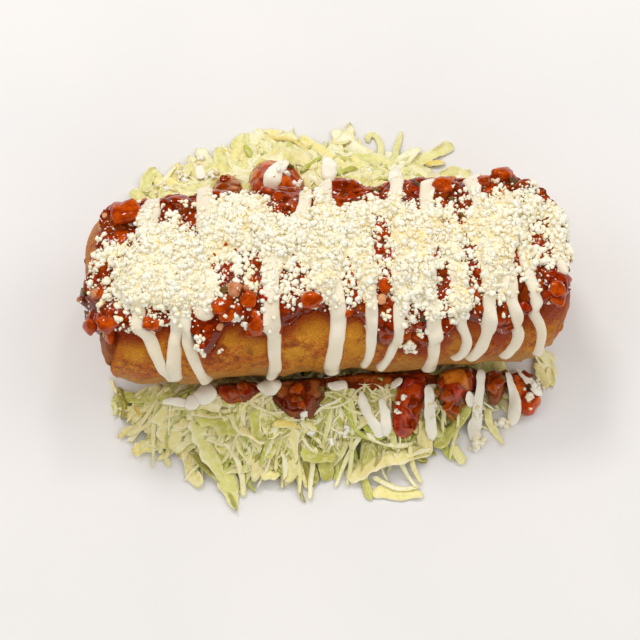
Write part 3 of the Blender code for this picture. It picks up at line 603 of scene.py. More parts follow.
def seededLumps():
    # the named lumps and smaller ones spread evenly over the salsa
    draw = np.random.default_rng(41)
    lumps = list(salsa["lumps"])
    while len(lumps) < len(salsa["lumps"]) + salsa["extraLumps"]:
        spot = (draw.uniform(salsa["start"], salsa["end"]), draw.uniform(14, 172))
        size = (draw.uniform(*salsa["lumpRadius"]), draw.uniform(*salsa["lumpHeight"]))
        spaced = all(np.hypot(spot[0] - lump[0], perDegree * (spot[1] - lump[1])) > 7.5 for lump in lumps)
        if spaced or draw.uniform() < 0.02:
            lumps.append(spot + size)
    return lumps


salsaLumps = seededLumps()


def salsaEdge(along, around):
    # distance inside the salsa's outline in mm, made uneven by noise
    place = rollPoint(along, around, 0)
    return insideOutline(along, around, salsa, 2) + 1.6 * noise(place, 8, 61, 2) + 0.6 * noise(place, 2.4, 63)


def buildSalsa():
    # a closed sheet: the lift rises steeply from the outline, then carries lumps and pulp
    columns, rows = slice(14, 428), slice(10, 204)  # -109 to 98 mm along, 9 to 183 degrees around
    along, around = alongGrid[columns, rows], aroundGrid[columns, rows]
    place = rollPoint(along, around, 0)
    edge = salsaEdge(along, around)
    bent = warped(place, 1.3, 4, 65)
    chunk, number = blocks(bent, 6.4, 71)
    pulp, _ = domes(bent, 2.7, 75, 0.85)
    fine, _ = domes(place, 1.3, 77, 0.85)
    body = salsa["thick"] + domeField(along, around, salsaLumps) + 0.25 * fine
    body = body + salsa["pulpHeight"] * (chunk * (0.3 + 1.3 * number) - 0.5) + 0.55 * (pulp - 0.4)
    lift = salsa["rim"] * np.sqrt(np.clip(edge / 1.1, 0, 1)) + smoothStep(edge, 0, 6) * body
    outer = crust[columns, rows] + np.where(edge > 0, lift, -1.6 * smoothStep(-edge, 0, 1.0))
    cover[columns, rows] = np.maximum(cover[columns, rows], outer)
    # depth is low in the cracks between the chunks and near the outline: the dark layer on it is painted
    # shade in the cracks, and it also darkens the sauce towards its outline
    marks = {"depth": np.clip(edge / 6, 0, 1) * chunk * (0.5 + 0.5 * pulp), "shade": number}
    rings, marks = closedSheet(along, around, outer, 5.0, 10, marks)
    look = finish("salsaSauce", (14, 3.2, 0.8), salsa["red"], (
        (salsa["orange"], "Patches", 0.55), (salsa["dark"], "Blotches", 0.7, 0.6, 0.1),
        (salsa["brown"], "shade", 0.6, 0.72, 1.0), (salsa["orange"], "Specks", 0.35, 0.75, 1.0),
        (salsa["dark"], "depth", 0.45, 0.5, 0.1)), ("Specks", 0.05, 0.11), (0.06, 0.2))
    addTube("salsaSauce", rings, look, "salsa", ("salsa_and_crema",), marks)


def chunkSpots(count, draw, keep):
    # random places on the salsa whose distance from its edge is at least keep
    spots = np.zeros((0, 2))
    while len(spots) < count:
        trial = np.column_stack([draw.uniform(-106, 95, 400), draw.uniform(12, 178, 400)])
        spots = np.concatenate([spots, trial[salsaEdge(*trial.T) > keep]])
    return spots[:count]


def surfaceTurns(along, around, draw, tilt):
    # rotations whose third axis is the roll's outward normal, tipped a little, and turned at random
    east = rollPoint(along + 0.5, around, 0) - rollPoint(along - 0.5, around, 0)
    north = rollPoint(along, around + 1, 0) - rollPoint(along, around - 1, 0)
    normal = unit(unit(np.cross(north, east)) + draw.uniform(-tilt, tilt, (len(along), 3)))
    side = unit(np.cross(normal, draw.normal(size=(len(along), 3))))
    return np.stack([side, np.cross(normal, side), normal], -1)


def buildChunks(look, name, count, sizes, boxy, rise, keep, seed, named):
    # flattened dice with rounded, uneven edges, sunk into the sauce; the named ones lie half out of it
    draw = np.random.default_rng(seed)
    shapes, faces = lumpShapes(10, 8, 13, boxy, 0.6, seed)
    named = np.array(named)
    spots = np.concatenate([named[:, :2], chunkSpots(count, draw, keep)])
    isNamed = np.arange(len(spots)) < len(named)
    size = draw.uniform(*sizes, len(spots))[:, None]
    size = size * draw.uniform(0.7, 1.25, (len(spots), 3)) * (1, 0.85, 0.55)
    size[isNamed] = named[:, 2:] * (1, 0.88, 0.62)
    lift = sampled(cover, *spots.T) + size[:, 2] * 0.5 * np.where(isNamed, 0, rise)
    turns = surfaceTurns(*spots.T, draw, 0.35)
    points, places = scattered(shapes, faces, rollPoint(*spots.T, lift), size * 0.5, draw, turns)
    tone = np.maximum(draw.uniform(0, 1, len(spots)), isNamed)
    addPiece(name, points, places, look, "salsa", marks={"tone": perCopy(tone, shapes)})
    for ring in (0, 0.35):
        for turn in np.radians(np.arange(0, 360, 45)):
            shift = ring * size[:, 0]
            raiseCover(spots[:, 0] + shift * np.cos(turn), spots[:, 1] + shift * np.sin(turn) / perDegree,
                       lift + size[:, 2] * (0.4 - ring * 0.6))


crema = {
    # each: (along, around) down the ribbon, and its half width or several from its start to its end
    "ribbons": (
        (((-71, 86), (-70, 103), (-72, 115), (-72, 123), (-70, 136), (-69, 144), (-68, 153), (-66, 165),
          (-65, 179)),
         (2.2, 2.2, 2.0, 2.1, 1.9, 2.1, 2.3)),
        (((-56, 100), (-58, 115), (-60, 121), (-62, 129), (-63, 147), (-64, 160), (-65, 179)),
         (2.0, 2.4, 2.7, 2.8, 2.8)),
        (((-54, 99), (-55, 116), (-57, 131), (-56, 140), (-54, 156), (-53, 169), (-52, 186)),
         (2.4, 2.3, 2.2, 1.9, 2.0)),
        (((-46, 90), (-47, 106), (-48, 118)), (3.6, 4.0)),
        (((-22, 70), (-22, 98), (-23, 125), (-24, 145), (-24, 167), (-27, 196)),
         (3.2, 3.2, 2.8, 2.6, 2.7, 1.7)),
        (((2, 60), (1, 105), (2, 122), (1, 136), (-1, 160), (-2, 174), (-1, 193)),
         (3.0, 3.1, 3.1, 3.1, 3.4, 3.0)),
        (((14, 96), (14, 124), (14, 151), (13, 166), (11, 182)), (2.4, 2.2, 1.9, 2.0, 1.5)),
        (((25, 94), (24, 114), (23, 126), (24, 139), (22, 158), (20, 172), (17, 184)),
         (2.2, 2.0, 2.0, 1.9, 1.2)),
        (((36, 90), (36, 117), (37, 135), (38, 151), (38, 170), (37, 194)), (2.6, 2.7, 2.7, 2.4, 2.7)),
        (((46, 96), (47, 119), (48, 133), (52, 149), (52, 160), (50, 170), (46, 176)),
         (2.2, 2.0, 2.0, 1.8, 1.2)),
        (((58, 85), (58, 117), (58, 132), (60, 144), (58, 156), (56, 167), (52, 178)),
         (2.4, 2.3, 2.1, 2.0, 1.3)),
        (((64, 85), (65, 112), (66, 123), (69, 134), (72, 147), (72, 155), (70, 166), (66, 180)),
         (2.2, 1.9, 1.8, 2.0, 1.9, 1.3)),
        (((71, 80), (72, 97), (73, 110), (76, 127), (80, 142), (81, 155), (80, 168), (79, 180)),
         (2.2, 2.3, 2.1, 1.9, 1.3)),
        (((84, 76), (86, 89), (86, 97), (87, 107)), (1.3, 1.5, 1.2)),
        (((-66, 34), (-66, 48), (-67, 74)), (4.2, 4.0, 3.4)),
        (((-45, 20), (-45, 42), (-46, 74)), (3.2, 3.2, 2.8)), (((-7, 38), (-7, 51), (-10, 74)), (2.6, 2.4)),
        (((0, 18), (1, 32), (0, 66)), (2.8, 2.6)), (((28, 24), (28, 42), (25, 66)), (2.8, 2.4)),
        (((40, 36), (39, 51), (38, 76)), (2.7, 2.4)), (((56, 34), (57, 54), (59, 76)), (2.8, 2.5))),
    # light is a lighter copy of the crema's white for the crema that lies on the lettuce in the roll's
    # shadow: painted light
    "loop": 14, "step": 0.8, "light": (255, 248, 228), "white": (246, 235, 212), "warm": (236, 219, 184),
}


def smoothPath(points, step, blur, stretch=(1, 1)):
    # even steps along the straight lines, then a mean over the blur's length with the ends held
    points = np.array(points, float)
    chord = np.hypot(*(np.diff(points, axis=0) * stretch).T)
    at = np.concatenate([[0], np.cumsum(chord)])
    where = np.arange(0, at[-1] + step / 2, step)
    line = np.stack([np.interp(where, at, points[:, k]) for k in (0, 1)], -1)
    reach = min(int(blur / step / 2), len(line) // 2 - 1)
    before = 2 * line[0] - line[reach:0:-1]
    after = 2 * line[-1] - line[-2:-2 - reach:-1]
    long = np.concatenate([before, line, after])
    mean = np.ones(2 * reach + 1) / (2 * reach + 1)
    return np.stack([np.convolve(long[:, k], mean, "valid") for k in (0, 1)], -1)


def ribbonRings(points, halfWidth, stretch, seed, drop=1.06, crown=1.8, tip=1.25):
    # a D-shaped section along the path: flat below, crown sin t above, rounded ends and a drop
    line = smoothPath(points, crema["step"], 9, stretch)
    _, sideways = pathSides(line, stretch)
    at = np.arange(len(line)) * crema["step"]
    left = at[-1] - at
    uneven = 1 + 0.16 * noise(np.stack([at, at * 0 + seed, at * 0], -1), 7, 81, 2)
    halfWidth = np.interp(at / at[-1], np.linspace(0, 1, np.size(halfWidth)), np.atleast_1d(halfWidth))
    ends = np.minimum(np.minimum(at / tip, left / 1.25) / halfWidth, 1)
    ends = np.sqrt(np.clip(1 - (1 - ends) ** 2, 0.01, 1))
    width = halfWidth * uneven * (1 + (drop - 1) * np.exp(-((left - 3.2) / 3.2) ** 2)) * ends
    crown = crown * (0.8 + 0.3 * np.exp(-((left - 3) / 3) ** 2)) * (1 + 0.5 * (uneven - 1)) * ends
    turn = np.arange(crema["loop"]) / crema["loop"] * 2 * np.pi
    height = np.where(np.sin(turn) >= 0, np.abs(np.sin(turn)) ** 0.75, -0.9) * crown[:, None]
    across = np.cos(turn) * width[:, None]
    return line[:, None] + sideways[:, None] * across[..., None], height


def cremaLook(name, colour, second):
    layers = ((second, "Patches", 0.45),)
    return finish(name, (12, 4, 1.2), colour, layers, ("Blotches", 0.12, 0.26), (0.12, 0.35),
                  Subsurface_Weight=0.15, Subsurface_Scale=0.002, Subsurface_Radius=(1.0, 0.9, 0.7))


def buildRibbons(look):
    # each ribbon lies on what is below it, and the next one on it
    base = blurred(spread(cover), 2)
    parts = []
    for seed, (points, halfWidth) in enumerate(crema["ribbons"]):
        place, height = ribbonRings(points, halfWidth, (1, perDegree), seed * 13)
        along, around = place[..., 0], place[..., 1]
        lift = sampled(base, along, around) + height
        parts.append(closedTube(rollPoint(along, around, lift)))
        raiseCover(along, around, lift)
        for shift in (0.33, 0.66):
            between = (value[:, :-1] * (1 - shift) + value[:, 1:] * shift for value in (along, around, lift))
            raiseCover(*between)
    addPiece("cremaRibbons", *joined(parts), look)


cheese = {
    "front": (
        (-95, 92), (-85, 97), (-75, 109), (-66, 110), (-59, 115), (-52, 111), (-44, 104), (-33, 97),
        (-23, 100), (-17, 102), (-8, 104), (-2, 110), (4, 102), (9, 106), (13, 116), (19, 100), (25, 122),
        (34, 118), (42, 118), (47, 128), (53, 116), (63, 115), (67, 96), (76, 100), (83, 94), (90, 92)),
    "back": (
        (-95, 80), (-81, 77), (-75, 78), (-68, 70), (-57, 62), (-47, 74), (-39, 50), (-30, 35), (-15, 68),
        (-6, 66), (-2, 46), (6, 60), (20, 52), (32, 63), (45, 68), (57, 64), (68, 58), (76, 62), (84, 64),
        (90, 76)),
    "start": -90, "end": 90, "thick": 1.0,
    # the bed's sheet: from, to and how many places along and around
    "sheet": ((-96, 92, 500), (31, 149, 186)),
    # thin places: middle, half length along and half width around in mm
    "gaps": (
        (-31, 95, 9, 3.5), (-15, 101, 4.5, 4), (20, 86, 2, 6), (41, 106, 3, 6), (53, 108, 2.8, 8),
        (82, 85, 3.6, 3.2), (48, 72, 3, 2.2), (-86, 88, 3, 2.5), (6, 107, 2.2, 4.5), (70, 105, 1.8, 6)),
    # small clumps by themselves: along, around, reach in mm and grains
    "named": (
        (28, 149, 2.2, 16), (29, 156, 1.6, 9), (-24, 71, 2.6, 14), (-36, 119, 2.2, 14), (-33, 122, 1.6, 8),
        (-38, 116, 1.4, 6), (-27, 115, 1.6, 7), (-50, 129, 1.4, 7), (-50, 135, 1.4, 7), (-50, 140, 1.2, 6),
        (-45, 142, 1.0, 4), (32, 138, 1.8, 7), (-78, 119, 2.0, 6), (-67, 113, 1.4, 5), (-15, 112, 2.0, 9),
        (-18, 106, 2.4, 12), (66, 40, 3.0, 10), (78, 52, 3.0, 16), (-88, 106, 2.0, 8), (-58, 58, 2.0, 8),
        (44, 114, 1.6, 12), (25, 117, 2.0, 18), (36, 123, 2.0, 18), (46, 119, 2.2, 22), (59, 104, 2.2, 22),
        (63, 115, 1.8, 14), (14, 103, 2.0, 16), (2, 111, 1.8, 12), (84, 85, 2.2, 20), (77, 93, 2.0, 16),
        (69, 89, 2.2, 20), (35, 98, 2.2, 20), (25, 99, 2.0, 18), (2, 92, 2.2, 20), (47, 103, 2.2, 22),
        (58, 92, 2.2, 22), (64, 92, 2.2, 20), (73, 98, 2.0, 16), (81, 99, 2.2, 18), (-22, 84, 2.4, 22),
        (86, 92, 2.0, 18), (-66, 78, 2.2, 18), (-45, 76, 2.2, 18), (-32, 94, 7, 60), (-15, 103, 5, 40),
        (6, 106, 3, 16), (82, 85, 3.5, 14), (48, 72, 3, 12), (-66, 62, 2.6, 16), (-45, 62, 2.2, 12),
        (40, 60, 2.2, 12), (57, 56, 2.4, 14), (28, 52, 2.2, 10)),
    "clusters": 1150, "curds": 5300, "crumbs": 3600, "specks": 2000,
    # the last colour is the warm yellow of the painted shade between the grains, shown where tone is low
    "white": (255, 251, 236), "cream": (255, 243, 200), "yellow": (255, 226, 132), "creviceShade": (240, 196, 92),
}


def cheeseEdge(along, around):
    # distance inside the cheese's outline and outside its gaps in mm, made uneven by noise
    place = rollPoint(along, around, 0)
    edge = insideOutline(along, around, cheese, 0)
    for middle, turn, halfLength, halfWidth in cheese["gaps"]:
        away = np.hypot((along - middle) / halfLength, (around - turn) * perDegree / halfWidth)
        edge = np.minimum(edge, 4 * (away - 1.3))
    return edge + 2.6 * noise(place, 9, 91, 2) + 1.0 * noise(place, 3, 93)


def cheeseLook():
    # the base colour is the painted shade in the crevices; cream and white lie over it as the tone rises
    return finish("crumbledCheese", (14, 3.4, 0.6), cheese["creviceShade"], (
        (cheese["cream"], "tone", 1.0, 0.0, 0.4), (cheese["yellow"], "Patches", 0.5, 0.4, 0.95),
        (cheese["white"], "tone", 1.0, 0.35, 0.95)), None, (0.25, 0.6), Roughness=0.7, Specular_IOR_Level=0.2)


def buildCheese(look):
    # a bed of clusters, grains on them and finer grains, sunk below the salsa outside its outline
    along, around = np.meshgrid(*[np.linspace(*places) for places in cheese["sheet"]], indexing="ij")
    place = rollPoint(along, around, 0)
    edge = cheeseEdge(along, around)
    bent = warped(place, 0.8, 3, 115)
    large, share = domes(bent, 3.8, 101, 0.95)
    grains, number = domes(bent, 1.9, 105, 0.9)
    fine, _ = domes(place, 0.95, 109, 0.9)
    full = smoothStep(edge + 4.5 * noise(place, 6, 113, 2) - 1.5, 0, 6)
    lift = full * (cheese["thick"] + 1.3 * large * (0.5 + 0.5 * share))
    lift = lift + 0.8 * grains * (0.5 + 0.5 * number) + 0.3 * fine
    lift = lift - 0.3 - (1 - full) * (1.3 - 0.9 * large) - 2.5 * (1 - smoothStep(edge, -1.5, 1.5))
    outer = sampled(blurred(spread(cover), 1), along, around) + np.maximum(lift, -2.0)
    shown = lift > 0
    raiseCover(along[shown], around[shown], outer[shown])
    # tone is high on the tops of the domes and grains and low between them, where the crevice colour paints
    # shade
    tone = 0.6 * grains * (0.4 + 0.6 * large) + 0.25 * fine * grains
    rings, marks = closedSheet(along, around, outer, 3.0, 8, {"tone": tone})
    addTube("cheeseBed", rings, look, "cheese", ("crumbled_cheese",), marks)


def crumbSpots(count, draw, falloff, least):
    # places whose chance is 1 well inside the outline and falls by e per falloff mm outside it
    spots = np.zeros((0, 2))
    while len(spots) < count:
        trial = np.column_stack([draw.uniform(-104, 94, 6000), draw.uniform(28, 165, 6000)])
        edge = cheeseEdge(*trial.T)
        chance = np.where(edge > 0, 1, np.maximum(np.exp(edge / falloff), least * (edge > -16)))
        on = salsaEdge(*trial.T) > 0
        spots = np.concatenate([spots, trial[(draw.uniform(0, 1, len(trial)) < chance) & on]])
    return spots[:count]


def clustered(spots, many, reach, draw):
    # so many places round each of the first ones, at a normal distance of reach mm
    each = np.repeat(spots, many, axis=0)
    away = draw.normal(size=each.shape) * np.repeat(np.broadcast_to(reach, len(spots)), many)[:, None]
    return each + away / (1, perDegree)


def strewCheese(look, name, spots, radii, shape, seed):
    # grains laid in three layers; a grain's tone falls towards the side that it lies on, a painted shade on
    # its underside
    draw = np.random.default_rng(seed)
    shapes, faces = lumpShapes(*shape, seed)
    parts, tones = [], []
    for layer in np.array_split(draw.permutation(spots), 3):
        radius = radii[0] + (radii[1] - radii[0]) * draw.uniform(0, 1, len(layer)) ** 1.6
        size = radius[:, None] * draw.uniform(0.75, 1.2, (len(layer), 3))
        lift = sampled(cover, *layer.T) + 0.35 * radius
        centres = rollPoint(*layer.T, lift)
        parts.append(scattered(shapes, faces, centres, size, draw))
        away = parts[-1][0].reshape(len(layer), -1, 3) - centres[:, None]
        rise = np.einsum("nvj,nj->nv", away, rollPoint(*layer.T, lift + 1) - centres) / radius[:, None]
        tone = draw.uniform(0.6, 1, len(layer))[:, None] * (0.25 + 0.75 * smoothStep(rise, -0.7, 0.35))
        tones.append(tone.ravel())
        raiseCover(*layer.T, lift + 0.6 * radius)
    addPiece(name, *joined(parts), look, "cheese", marks={"tone": np.concatenate(tones)})


def buildCrumbs(look):
    # curds in clusters and in the named clumps, then crumbs and specks that reach further out
    draw = np.random.default_rng(121)
    middles = crumbSpots(cheese["clusters"], draw, 1.6, 0.02)
    named = np.array(cheese["named"])
    alone = clustered(named[:, :2], named[:, 3].astype(int), named[:, 2] * 0.55, draw)
    curds = clustered(middles, draw.integers(2, 8, len(middles)), 1.0, draw)
    curds = np.concatenate([alone, draw.permutation(curds)])[: cheese["curds"]]
    strewCheese(look, "cheeseCurds", curds, (0.5, 1.3), (12, 3, 6, 0.9, 0.7), 122)
    crumbs = crumbSpots(cheese["crumbs"], draw, 2.2, 0.04)
    strewCheese(look, "cheeseCrumbs", crumbs, (0.35, 0.6), (12, 3, 6, 0.9, 0.6), 123)
    specks = crumbSpots(cheese["specks"], draw, 4.0, 0.1)
    strewCheese(look, "cheeseSpecks", specks, (0.2, 0.35), (6, 3, 5, 0.9, 0.5), 124)


bed = {
    "outline": (
        (0, 78), (20, 76), (36, 78), (48, 85), (56, 78), (71, 74), (85, 78), (97, 84), (106, 78), (128, 80),
        (140, 88), (150, 84), (165, 78), (180, 76), (190, 80), (198, 88), (206, 92), (218, 89), (227, 81),
        (242, 82), (250, 76), (259, 71), (269, 68), (281, 75), (291, 80), (303, 72), (312, 80), (322, 86),
        (332, 88), (342, 90), (352, 84)),
    # the core goes out to a share of the outline and lies this far below the heap's top
    "height": 20.0, "rim": 2.6, "slope": 26.0, "core": 0.86, "sunk": 4.2,
    "tones": {
        "white": (253, 247, 212), "pale": (240, 232, 156), "straw": (244, 226, 154), "leaf": (212, 210, 104),
        "olive": (172, 160, 56), "deep": (112, 108, 18), "bright": (186, 196, 46), "gold": (236, 202, 62),
        "lemon": (250, 234, 148)},
    # the tones that each one drifts to along a piece and at its edges
    "drifts": {
        "white": ("pale", "lemon"), "pale": ("leaf", "white"), "straw": ("pale", "white"),
        "leaf": ("olive", "pale"), "olive": ("deep", "leaf"), "deep": ("olive", "olive"),
        "bright": ("olive", "leaf"), "gold": ("lemon", "white"), "lemon": ("pale", "white")},
    # strewn: name, how many, angles, widths, lengths, thickness, most height above the bed, crumple,
    # shares of the outline that they end at, turn off the outward course, bends, tones and seed
    # the front pieces laid under the strips take darker tones such as olive and deep, painted shade between
    # the strips and under the roll; the back pieces take the whitest tones, painted light
    "under": (
        ("lettuceFrontUnder", 160, (176, 364), (4, 10), (12, 30), 0.35, 0.2, 1.3, (0.6, 0.95), 90, 0.6,
         ("straw", "leaf", "olive", "lemon", "deep", "pale", "olive", "leaf"), 141),
        ("lettuceLeftUnder", 110, (196, 250), (4, 9), (10, 24), 0.35, 0.4, 1.3, (0.74, 1.02), 80, 0.6,
         ("straw", "leaf", "pale", "olive", "lemon"), 148),
        ("lettuceBackUnder", 210, (-6, 186), (5, 12), (12, 30), 0.35, 0.4, 1.8, (0.6, 0.97), 90, 0.8,
         ("pale", "white", "lemon", "leaf"), 142),
        ("lettuceBackRim", 170, (104, 150), (3, 9), (7, 17), 1.0, 1.2, 1.8, (0.88, 1.17), 90, 0.9,
         ("white", "white", "pale", "white", "lemon", "pale"), 149),
        ("lettuceLeftRim", 80, (196, 224), (2.5, 7), (8, 20), 0.5, 1.0, 1.2, (0.9, 1.1), 80, 0.8,
         ("straw", "pale", "lemon", "leaf", "white", "straw"), 150),
        ("lettuceFrontStrips", 200, (176, 364), (1.6, 4.0), (14, 36), 0.5, 1.4, 0.7, (0.66, 0.98), 80, 0.9,
         ("pale", "straw", "leaf", "pale", "straw", "bright", "lemon", "white"), 143),
        ("lettuceBackStrips", 220, (-6, 186), (1.8, 4.4), (12, 32), 0.5, 1.6, 0.9, (0.66, 1.0), 80, 1.1,
         ("white", "pale", "lemon", "white", "leaf"), 144),
        ("lettuceLeftStrips", 90, (196, 252), (1.5, 3.6), (12, 30), 0.5, 1.2, 0.7, (0.8, 1.03), 70, 0.9,
         ("straw", "white", "pale", "olive", "lemon", "bright"), 147)),
    "long": ("lettuceLongStrips", 75, (208, 330), (1.0, 2.0), (22, 40), 0.5, 2.8, 0.6, (0.68, 0.94), 100, 1.3,
             ("white", "pale", "white", "bright", "lemon", "white", "olive"), 151),
    # laid one by one: width, share that it narrows to its end, tone, and the course seen from above
    "sheets": (
        (5.5, 0.2, "leaf", (-93, -31, -84, -33, -73, -36, -60, -37)),
        (11, 0.3, "leaf", (-58, -44, -50, -47, -40, -54)),
        (12.7, 0.3, "straw", (-71, -39, -69, -48, -70, -57)),
        (16.1, 0.9, "pale", (-55, -47, -53, -56, -48, -69, -44, -84)),
        (9.3, 0.1, "leaf", (-33, -47, -31, -53, -32, -59)),
        (9.3, 0.3, "straw", (-21, -53, -21, -62, -21, -74)),
        (9.3, 0.3, "leaf", (-16, -61, -9, -64, -1, -65)), (6.8, 0.2, "leaf", (-8, -65, -5, -69, -7, -74)),
        (8.5, 0.4, "straw", (2, -72, 13, -69, 25, -67, 39, -64)),
        (8.5, 0.5, "straw", (32, -51, 35, -59, 37, -66)), (5.5, 0.3, "lemon", (13, -79, 22, -82, 33, -82)),
        (4.7, 0.6, "olive", (-91, -28, -88, -35, -90, -42)),
        (5.9, 0.3, "pale", (47, -63, 50, -68, 52, -71)), (3.8, 0.6, "lemon", (63, -48, 64, -56, 69, -64)),
        (5.9, 0.3, "leaf", (39, -63, 46, -58, 52, -52, 55, -48)),
        (6.5, 0.3, "white", (85, -21, 89, -26, 94, -30)), (5.5, 0.3, "white", (87, -26, 91, -31, 94, -37)),
        (5.1, 0.4, "straw", (86, -30, 88, -35, 90, -41)), (3.4, 0.3, "straw", (91, -32, 92, -37, 92, -41)),
        (6.8, 0.5, "straw", (-37, -62, -34, -68, -37, -73)),
        (5.9, 0.3, "lemon", (-34, -69, -29, -70, -25, -71)),
        (6.4, 0.3, "pale", (-76, 60, -75, 67, -71, 72)), (5.9, 0.3, "straw", (-67, 60, -64, 67, -61, 74)),
        (5.5, 0.3, "white", (-50, 57, -50, 66, -52, 75)), (7.2, 0.3, "pale", (-38, 66, -41, 73, -44, 80)),
        (6.8, 0.4, "lemon", (-31, 60, -31, 72, -35, 81)), (6.8, 0.2, "white", (-18, 74, -23, 81, -27, 85)),
        (7.2, 0.2, "lemon", (-23, 85, -17, 87, -10, 85, -4, 78, 1, 68)),
        (7.6, 0.3, "straw", (-18, 72, -9, 65, -1, 57)), (6.4, 0.4, "lemon", (-7, 80, 2, 73, 9, 61, 15, 51)),
        (8.5, 0.3, "white", (24, 67, 15, 76, 9, 85)), (6.8, 0.3, "pale", (15, 67, 25, 67, 36, 63)),
        (6.4, 0.3, "pale", (36, 62, 45, 67, 53, 70, 61, 74)),
        (5.9, 0.2, "white", (40, 62, 46, 54, 56, 55, 68, 59)), (7.6, 0.4, "white", (6, 73, 14, 82, 17, 89)),
        (6.8, 0.3, "white", (32, 56, 38, 67, 46, 73)), (5.9, 0.3, "pale", (53, 57, 63, 61, 67, 57))),
    "strips": (
        (2.5, 0.6, "olive", (-61, -58, -57, -65, -50, -71, -46, -77, -44, -84)),
        (3, 0.3, "white", (-64, -54, -56, -52, -48, -55, -43, -62, -41, -69, -41, -79)),
        (2.5, 0.8, "pale", (-73, -37, -76, -44, -77, -52, -78, -64)),
        (3, 0.3, "white", (-68, -58, -63, -54, -56, -53, -47, -58)),
        (2.1, 0.3, "straw", (-88, -49, -82, -45, -78, -41, -73, -36)),
        (3, 0.3, "gold", (-84, -37, -82, -41, -81, -43)),
        (1.7, 0.3, "straw", (-94, -23, -93, -29, -89, -32)),
        # the deep green strip along the roll's front foot is painted shadow of the roll
        (2.1, 0.4, "deep", (-68, -39, -62, -36, -55, -34)),
        (1.3, 0.4, "deep", (-56, -47, -51, -45, -44, -45)),
        (2.1, 0.3, "bright", (-42, -46, -40, -53, -38, -59)),
        (3.4, 0.8, "white", (-38, -43, -39, -48, -38, -53)),
        (3, 0.4, "white", (-25, -53, -28, -59, -32, -66)),
        (1.7, 0.3, "bright", (-27, -56, -31, -61, -33, -68)),
        (1.7, 0.3, "lemon", (-22, -56, -26, -62, -27, -70)),
        (2.5, 0.5, "lemon", (-21, -56, -18, -62, -17, -70, -18, -79)),
        (3.4, 0.3, "gold", (-27, -54, -21, -53, -15, -55)),
        (3, 0.5, "white", (-10, -61, -12, -69, -14, -82)),
        (2.1, 0.4, "white", (9, -59, 4, -64, 1, -69, -3, -77)),
        (2.1, 0.4, "pale", (5, -63, 4, -70, 2, -77)),
        (2.5, 0.3, "white", (13, -74, 19, -78, 25, -80, 32, -79)),
        (2.1, 0.4, "white", (22, -66, 26, -72, 31, -80)), (2.5, 0.4, "lemon", (29, -63, 29, -69, 33, -78)),
        (2.5, 0.3, "white", (25, -68, 31, -66, 38, -64)),
        (2.1, 0.3, "white", (11, -59, 17, -63, 26, -64, 32, -61)),
        (1.7, 0.3, "deep", (9, -62, 15, -61, 20, -63)), (2.5, 0.3, "pale", (-3, -47, -4, -54, -7, -61)),
        (2.1, 0.3, "white", (1, -48, 2, -54, 0, -59)), (2.5, 0.3, "pale", (5, -45, 7, -53, 5, -59)),
        (2.1, 0.3, "pale", (-83, -51, -79, -54, -75, -55)),
        (2.1, 0.3, "straw", (-74, -41, -78, -45, -82, -47, -88, -49)),
        (2.1, 0.3, "pale", (-94, -33, -91, -38, -94, -40)),
        (2.5, 0.3, "white", (-16, -52, -12, -56, -7, -61)), (2.1, 0.3, "bright", (-1, -49, 0, -52, 2, -56)),
        (2.5, 0.3, "white", (-24, -62, -22, -67, -24, -73)),
        (3.4, 0.3, "bright", (-31, 79, -30, 76, -29, 72)),
        (2.1, 0.3, "gold", (-22, 83, -16, 81, -9, 80, -6, 74, -3, 67)),
        (2.5, 0.8, "pale", (-15, 87, -12, 91, -9, 97)), (2.5, 0.3, "bright", (-8, 56, -4, 59, 2, 65)),
        (3, 0.2, "pale", (23, 78, 24, 82, 27, 82, 29, 77, 29, 71, 26, 62)),
        (3.4, 0.5, "pale", (34, 65, 36, 74, 39, 82)), (3.4, 0.3, "gold", (48, 65, 53, 66, 57, 65)),
        (2.5, 0.3, "bright", (8, 54, 13, 58, 17, 58)), (2.1, 0.3, "white", (-37, 67, -39, 75, -41, 81)),
        (2.5, 0.3, "white", (-70, 62, -66, 67, -62, 72)), (2.5, 0.3, "pale", (-59, 64, -56, 69, -55, 74)),
        (2.5, 0.3, "white", (5, 59, 13, 69, 25, 73)), (2.1, 0.3, "straw", (7, 79, 10, 76, 16, 78)),
        (2.5, 0.3, "white", (40, 56, 44, 63, 51, 62)), (2.1, 0.3, "gold", (-41, 78, -39, 75, -37, 72))),
}


def bedReach(angle):
    # distance of the heap's outline at an angle in degrees
    return np.interp(angle, *np.array(bed["outline"]).T, period=360)


def bedShare(x, y):
    # share of the way from the middle to the outline, and the mm that are left
    reach = bedReach(np.degrees(np.arctan2(y, x)) % 360)
    share = np.hypot(x, y) / reach
    return share, (1 - share) * reach


def rollUnderside(x, y):
    # height of the roll's lower face, or a large height clear of it
    width = widthAt(np.clip(np.abs(x - roll["middleX"]) / roll["halfLength"], 0, 1))
    side = np.abs(y - roll["middleY"]) / np.maximum((roll["halfWidth"] + 1.2) * width, 1e-3)
    depth = (1 - np.clip(side, 0, 1) ** roll["sectionPower"]) ** (1 / roll["sectionPower"])
    return np.where(side < 1, roll["middleZ"] - (roll["halfHeight"] + 0.6) * width * depth, 99)


def bedTop(x, y):
    # a heap that rises from its rim over the slope's width, under the roll's lower face
    _, inward = bedShare(x, y)
    rise = bed["rim"] + (bed["height"] - bed["rim"]) * smoothStep(inward, 0, bed["slope"])
    ripple = 0.9 * np.sin(x * 0.31 + 0.9 * np.sin(y * 0.17)) * np.sin(y * 0.27 + 0.6)
    return np.minimum(rise + ripple * smoothStep(inward, 2, 12), rollUnderside(x, y) - 1.5)


def bedLevel(x, y):
    # the heap's top, running out to the floor past its outline
    return 0.2 + bedTop(x, y) * smoothStep(bedShare(x, y)[1], -4, 5)


